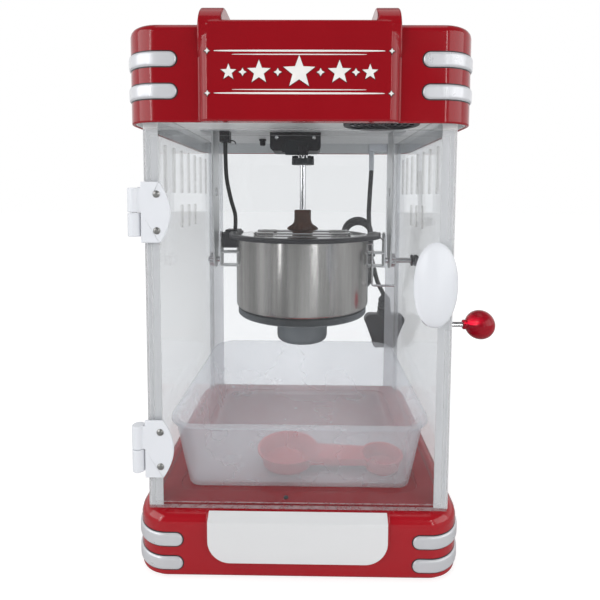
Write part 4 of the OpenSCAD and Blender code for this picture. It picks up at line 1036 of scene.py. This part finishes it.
class POPCORN_OT_tub(bpy.types.Operator):
    """Frosted tub with rolled edge and raised lines in its floor, and the double scoop"""

    bl_idname = "popcorn.tub"
    bl_label = "Tub and scoop"

    def execute(self, context):
        low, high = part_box("popcorn_tub")
        z0, z1 = low.z / MM, high.z / MM
        hx, hy = (high.x - low.x) / 2 / MM - 3, (high.y - low.y) / 2 / MM - 3
        bead = context.scene.pop_tub.bead / MM
        outer = [
            (22, 9, z0, 0.0), (22, 9, z0, 0.6), (17, 9, z0, 1), (14.2, 10, z0 + 0.35, 1), (13.1, 11, z0 + 1.6, 1),
            (12.4, 12, z0 + 4, 1), (9.0, 15, z0 + 20, 1), (4.5, 19.5, z0 + 43, 1),
            (0.9, 23.2, z1 - 4.4, 1), (0.3, 23.8, z1 - 3.6, 1), (-2.4, 26.4, z1 - 3.4, 1),
            (-3.0, 27, z1 - 2.8, 1), (-3.0, 27, z1 - 0.8, 1), (-2.3, 26.4, z1 - 0.1, 1), (0.9, 23.2, z1, 1),
            (1.9, 22.2, z1 - 0.7, 1),
        ]
        inner = [
            (2.9, 21.3, z1 - 6, 1), (6.5, 17.6, z1 - 23, 1), (11.0, 13, z0 + 20, 1), (14.2, 10, z0 + 5.5, 1),
            (15.2, 9.4, z0 + 3.4, 1), (17.2, 8.6, z0 + 2.1, 1), (19.0, 8.2, z0 + 2.0, 1),
        ]
        base = z0 + TUB_FLOOR
        ridge = ((-0.55, 0), (-0.25, 0.8), (0, 1), (0.25, 0.8), (0.55, 0))
        lines = [(inset + off, 8, base + bead * up, 1) for inset in TUB_LINES for off, up in ridge]
        floor = [(28, 8, base, share) for share in (1, 0.7, 0.35, 0.0)]
        grid = tub_rows(hx, hy, outer + inner + lines + floor)
        centre = np.array([(high.x + low.x) / 2, (high.y + low.y) / 2, 0])
        built(context, "frosted_tub", [grid * MM + centre], "frosted", "tub", ("popcorn_tub",), crease=55)
        soften_all(context, [("scoop", 0.4, 2)])
        return {"FINISHED"}


# a ray through the cabinet and the tub crosses up to this many faces of clear sheet
SHEET_PASSES = 40
LAMPS = (  # name, place and aim in metres, width, height, watts, seen in glossy surfaces
    ("key_left", (-1.95, -1.3, 1.2), (0, 0, 0.25), 2.2, 1.8, 24, True),
    ("fill_right", (1.95, -1.3, 1.0), (0, 0, 0.25), 2.2, 1.6, 18, True),
    ("strip_right", (0.62, -1.45, 0.45), (0.1, -0.1, 0.35), 0.05, 1.5, 2.4, True),
    ("strip_left", (-0.95, -1.3, 0.5), (-0.1, -0.1, 0.35), 0.05, 1.5, 2.2, True),
    ("top", (0, 0.2, 2.2), (0, 0, 0.2), 1.4, 1.4, 4, True),
    ("ceiling_left", (-0.1, -0.03, 0.165), (-0.06, -0.04, 0.39), 0.03, 0.2, 0.26, False),
    ("ceiling_right", (0.1, -0.03, 0.165), (0.06, -0.04, 0.39), 0.03, 0.2, 0.26, False),
    ("tub_light", (0, -0.02, 0.153), (0, -0.02, 0.06), 0.2, 0.18, 0.09, False),
)
FLOOR_REACH = (0.3, 9.0)  # radius of the floor's first and last ring, in metres


class POPCORN_OT_stage(bpy.types.Operator):
    """Pale floor, even studio light and the camera"""

    bl_idname = "popcorn.stage"
    bl_label = "Stage"

    def execute(self, context):
        s = context.scene.pop_stage
        self.camera(context, s)
        self.floor(context)
        self.room(context, s.level)
        for row in LAMPS:
            self.lamp(context, *row)
        context.scene.view_settings.view_transform = "Standard"
        context.scene.cycles.transparent_max_bounces = SHEET_PASSES
        return {"FINISHED"}

    def camera(self, context, s):
        """Camera axes from pitch, yaw and roll: forward, then right and down square to it."""
        p, y, r = s.pitch, s.yaw, s.roll
        forward = np.array([math.sin(y) * math.cos(p), math.cos(y) * math.cos(p), -math.sin(p)])
        right = np.array([math.cos(y), -math.sin(y), 0])
        down = np.cross(forward, right)
        across = math.cos(r) * right + math.sin(r) * down
        below = -math.sin(r) * right + math.cos(r) * down
        data = bpy.data.cameras.new("view_camera")
        data.lens, data.sensor_width = s.lens, 36
        data.shift_x, data.shift_y = s.shift
        data.clip_start, data.clip_end = 0.01, 50
        camera = bpy.data.objects.new("view_camera", data)
        context.scene.collection.objects.link(camera)
        turn = Matrix([across, -below, -forward]).transposed().to_4x4()
        camera.matrix_world = Matrix.Translation(s.place) @ turn
        context.scene.camera = camera

    def floor(self, context):
        """Round floor, a grid of rings, white where the camera sees it."""
        rings = np.concatenate([[0.0], np.geomspace(*FLOOR_REACH, 24)])[:, None]
        a = np.linspace(0, 2 * np.pi, 96, endpoint=False)
        grid = np.stack([rings * np.cos(a), rings * np.sin(a), 0 * rings * a - 0.0002], -1)
        mesh = bpy.data.meshes.new("floor")
        mesh.from_pydata(grid.reshape(-1, 3).tolist(), [], grid_faces(*grid.shape[:2]).tolist())
        tidy_mesh(mesh, 180)
        r = Recipe(bpy.data.materials.new("pale_floor"))
        paper = r.add("ShaderNodeBsdfDiffuse")
        r.join(r.tint(r.noise(3.0), (0.76, 0.76, 0.76), (0.8, 0.8, 0.8)), paper.inputs["Color"])
        shaded = r.add("ShaderNodeBsdfDiffuse", {"Color": (0.42, 0.42, 0.42, 1)})
        glow = r.add("ShaderNodeEmission", {"Color": (1, 1, 1, 1)})
        r.join(self.seen(r, 0.75, 0.06), glow.inputs["Strength"])
        both = r.add("ShaderNodeAddShader")
        r.join(r.mix(self.seen(r, 1.0, 1.0), paper, shaded).outputs[0], both.inputs[0])
        r.join(glow.outputs[0], both.inputs[1])
        mesh.materials.append(r.finish(both))
        floor = bpy.data.objects.new("floor", mesh)
        context.scene.collection.objects.link(floor)

    @staticmethod
    def seen(r, straight, mirrored):
        """The first share for camera and transmission rays, the other for glossy rays, else nothing."""
        rays = r.add("ShaderNodeLightPath").outputs
        direct = r.math("MAXIMUM", rays["Is Camera Ray"], rays["Is Transmission Ray"])
        glossy = r.math("MULTIPLY", rays["Is Glossy Ray"], mirrored)
        return r.math("MAXIMUM", r.math("MULTIPLY", direct, straight), glossy)

    def room(self, context, level):
        """Even world light; mirrored, the room is white behind the object and darker in front and above."""
        r = Recipe(bpy.data.worlds.new("studio"))
        way = r.add("ShaderNodeSeparateXYZ")
        r.join(r.place["Generated"], way.inputs[0])
        depth = r.between(way.outputs["Y"], 0.1, 1.0, -1.0, 0.1)
        walls = r.math("MULTIPLY", depth, r.between(way.outputs["Z"], 1.0, 0.22, 0.3, 0.75))
        rays = r.add("ShaderNodeLightPath").outputs
        direct = r.math("MAXIMUM", rays["Is Camera Ray"], rays["Is Transmission Ray"])
        glossy = r.between_two(rays["Is Glossy Ray"], level, walls)
        back = r.add("ShaderNodeBackground", {"Color": (1, 1, 1, 1)})
        r.join(r.between_two(direct, glossy, 1.0), back.inputs["Strength"])
        context.scene.world = r.finish(back, "ShaderNodeOutputWorld")

    def lamp(self, context, name, place, aim, wide, tall, power, mirrored):
        data = bpy.data.lights.new(name, "AREA")
        data.shape = "RECTANGLE"
        data.size, data.size_y, data.energy = wide, tall, power
        lamp = bpy.data.objects.new(name, data)
        context.scene.collection.objects.link(lamp)
        lamp.location = place
        lamp.rotation_mode = "QUATERNION"
        lamp.rotation_quaternion = (Vector(aim) - Vector(place)).to_track_quat("-Z", "Y")
        lamp.visible_glossy = mirrored


OPERATORS = (
    POPCORN_OT_cords, POPCORN_OT_shell, POPCORN_OT_bands, POPCORN_OT_ornament, POPCORN_OT_cabinet,
    POPCORN_OT_door, POPCORN_OT_kettle, POPCORN_OT_drive, POPCORN_OT_tub, POPCORN_OT_stage,
)


class POPCORN_PT_panel(bpy.types.Panel):
    """Lists the steps that build the machine"""

    bl_idname = "POPCORN_PT_panel"
    bl_label = "Popcorn machine"
    bl_space_type = "VIEW_3D"
    bl_region_type = "UI"
    bl_category = "Popcorn"

    def draw(self, context):
        for name, kind in SETTINGS.items():
            box = self.layout.box()
            group = getattr(context.scene, name)
            for key in kind.__annotations__:
                box.prop(group, key)
        for operator in OPERATORS:
            self.layout.operator(operator.bl_idname)


def register():
    for cls in (*SETTINGS.values(), *OPERATORS, POPCORN_PT_panel):
        bpy.utils.register_class(cls)
    for name, kind in SETTINGS.items():
        setattr(bpy.types.Scene, name, PointerProperty(type=kind))


def unregister():
    for name in SETTINGS:
        delattr(bpy.types.Scene, name)
    for cls in reversed((*SETTINGS.values(), *OPERATORS, POPCORN_PT_panel)):
        bpy.utils.unregister_class(cls)


def main():
    register()
    for operator in OPERATORS:
        group, call = operator.bl_idname.split(".")
        getattr(getattr(bpy.ops, group), call)()


if __name__ == "__main__":
    main()
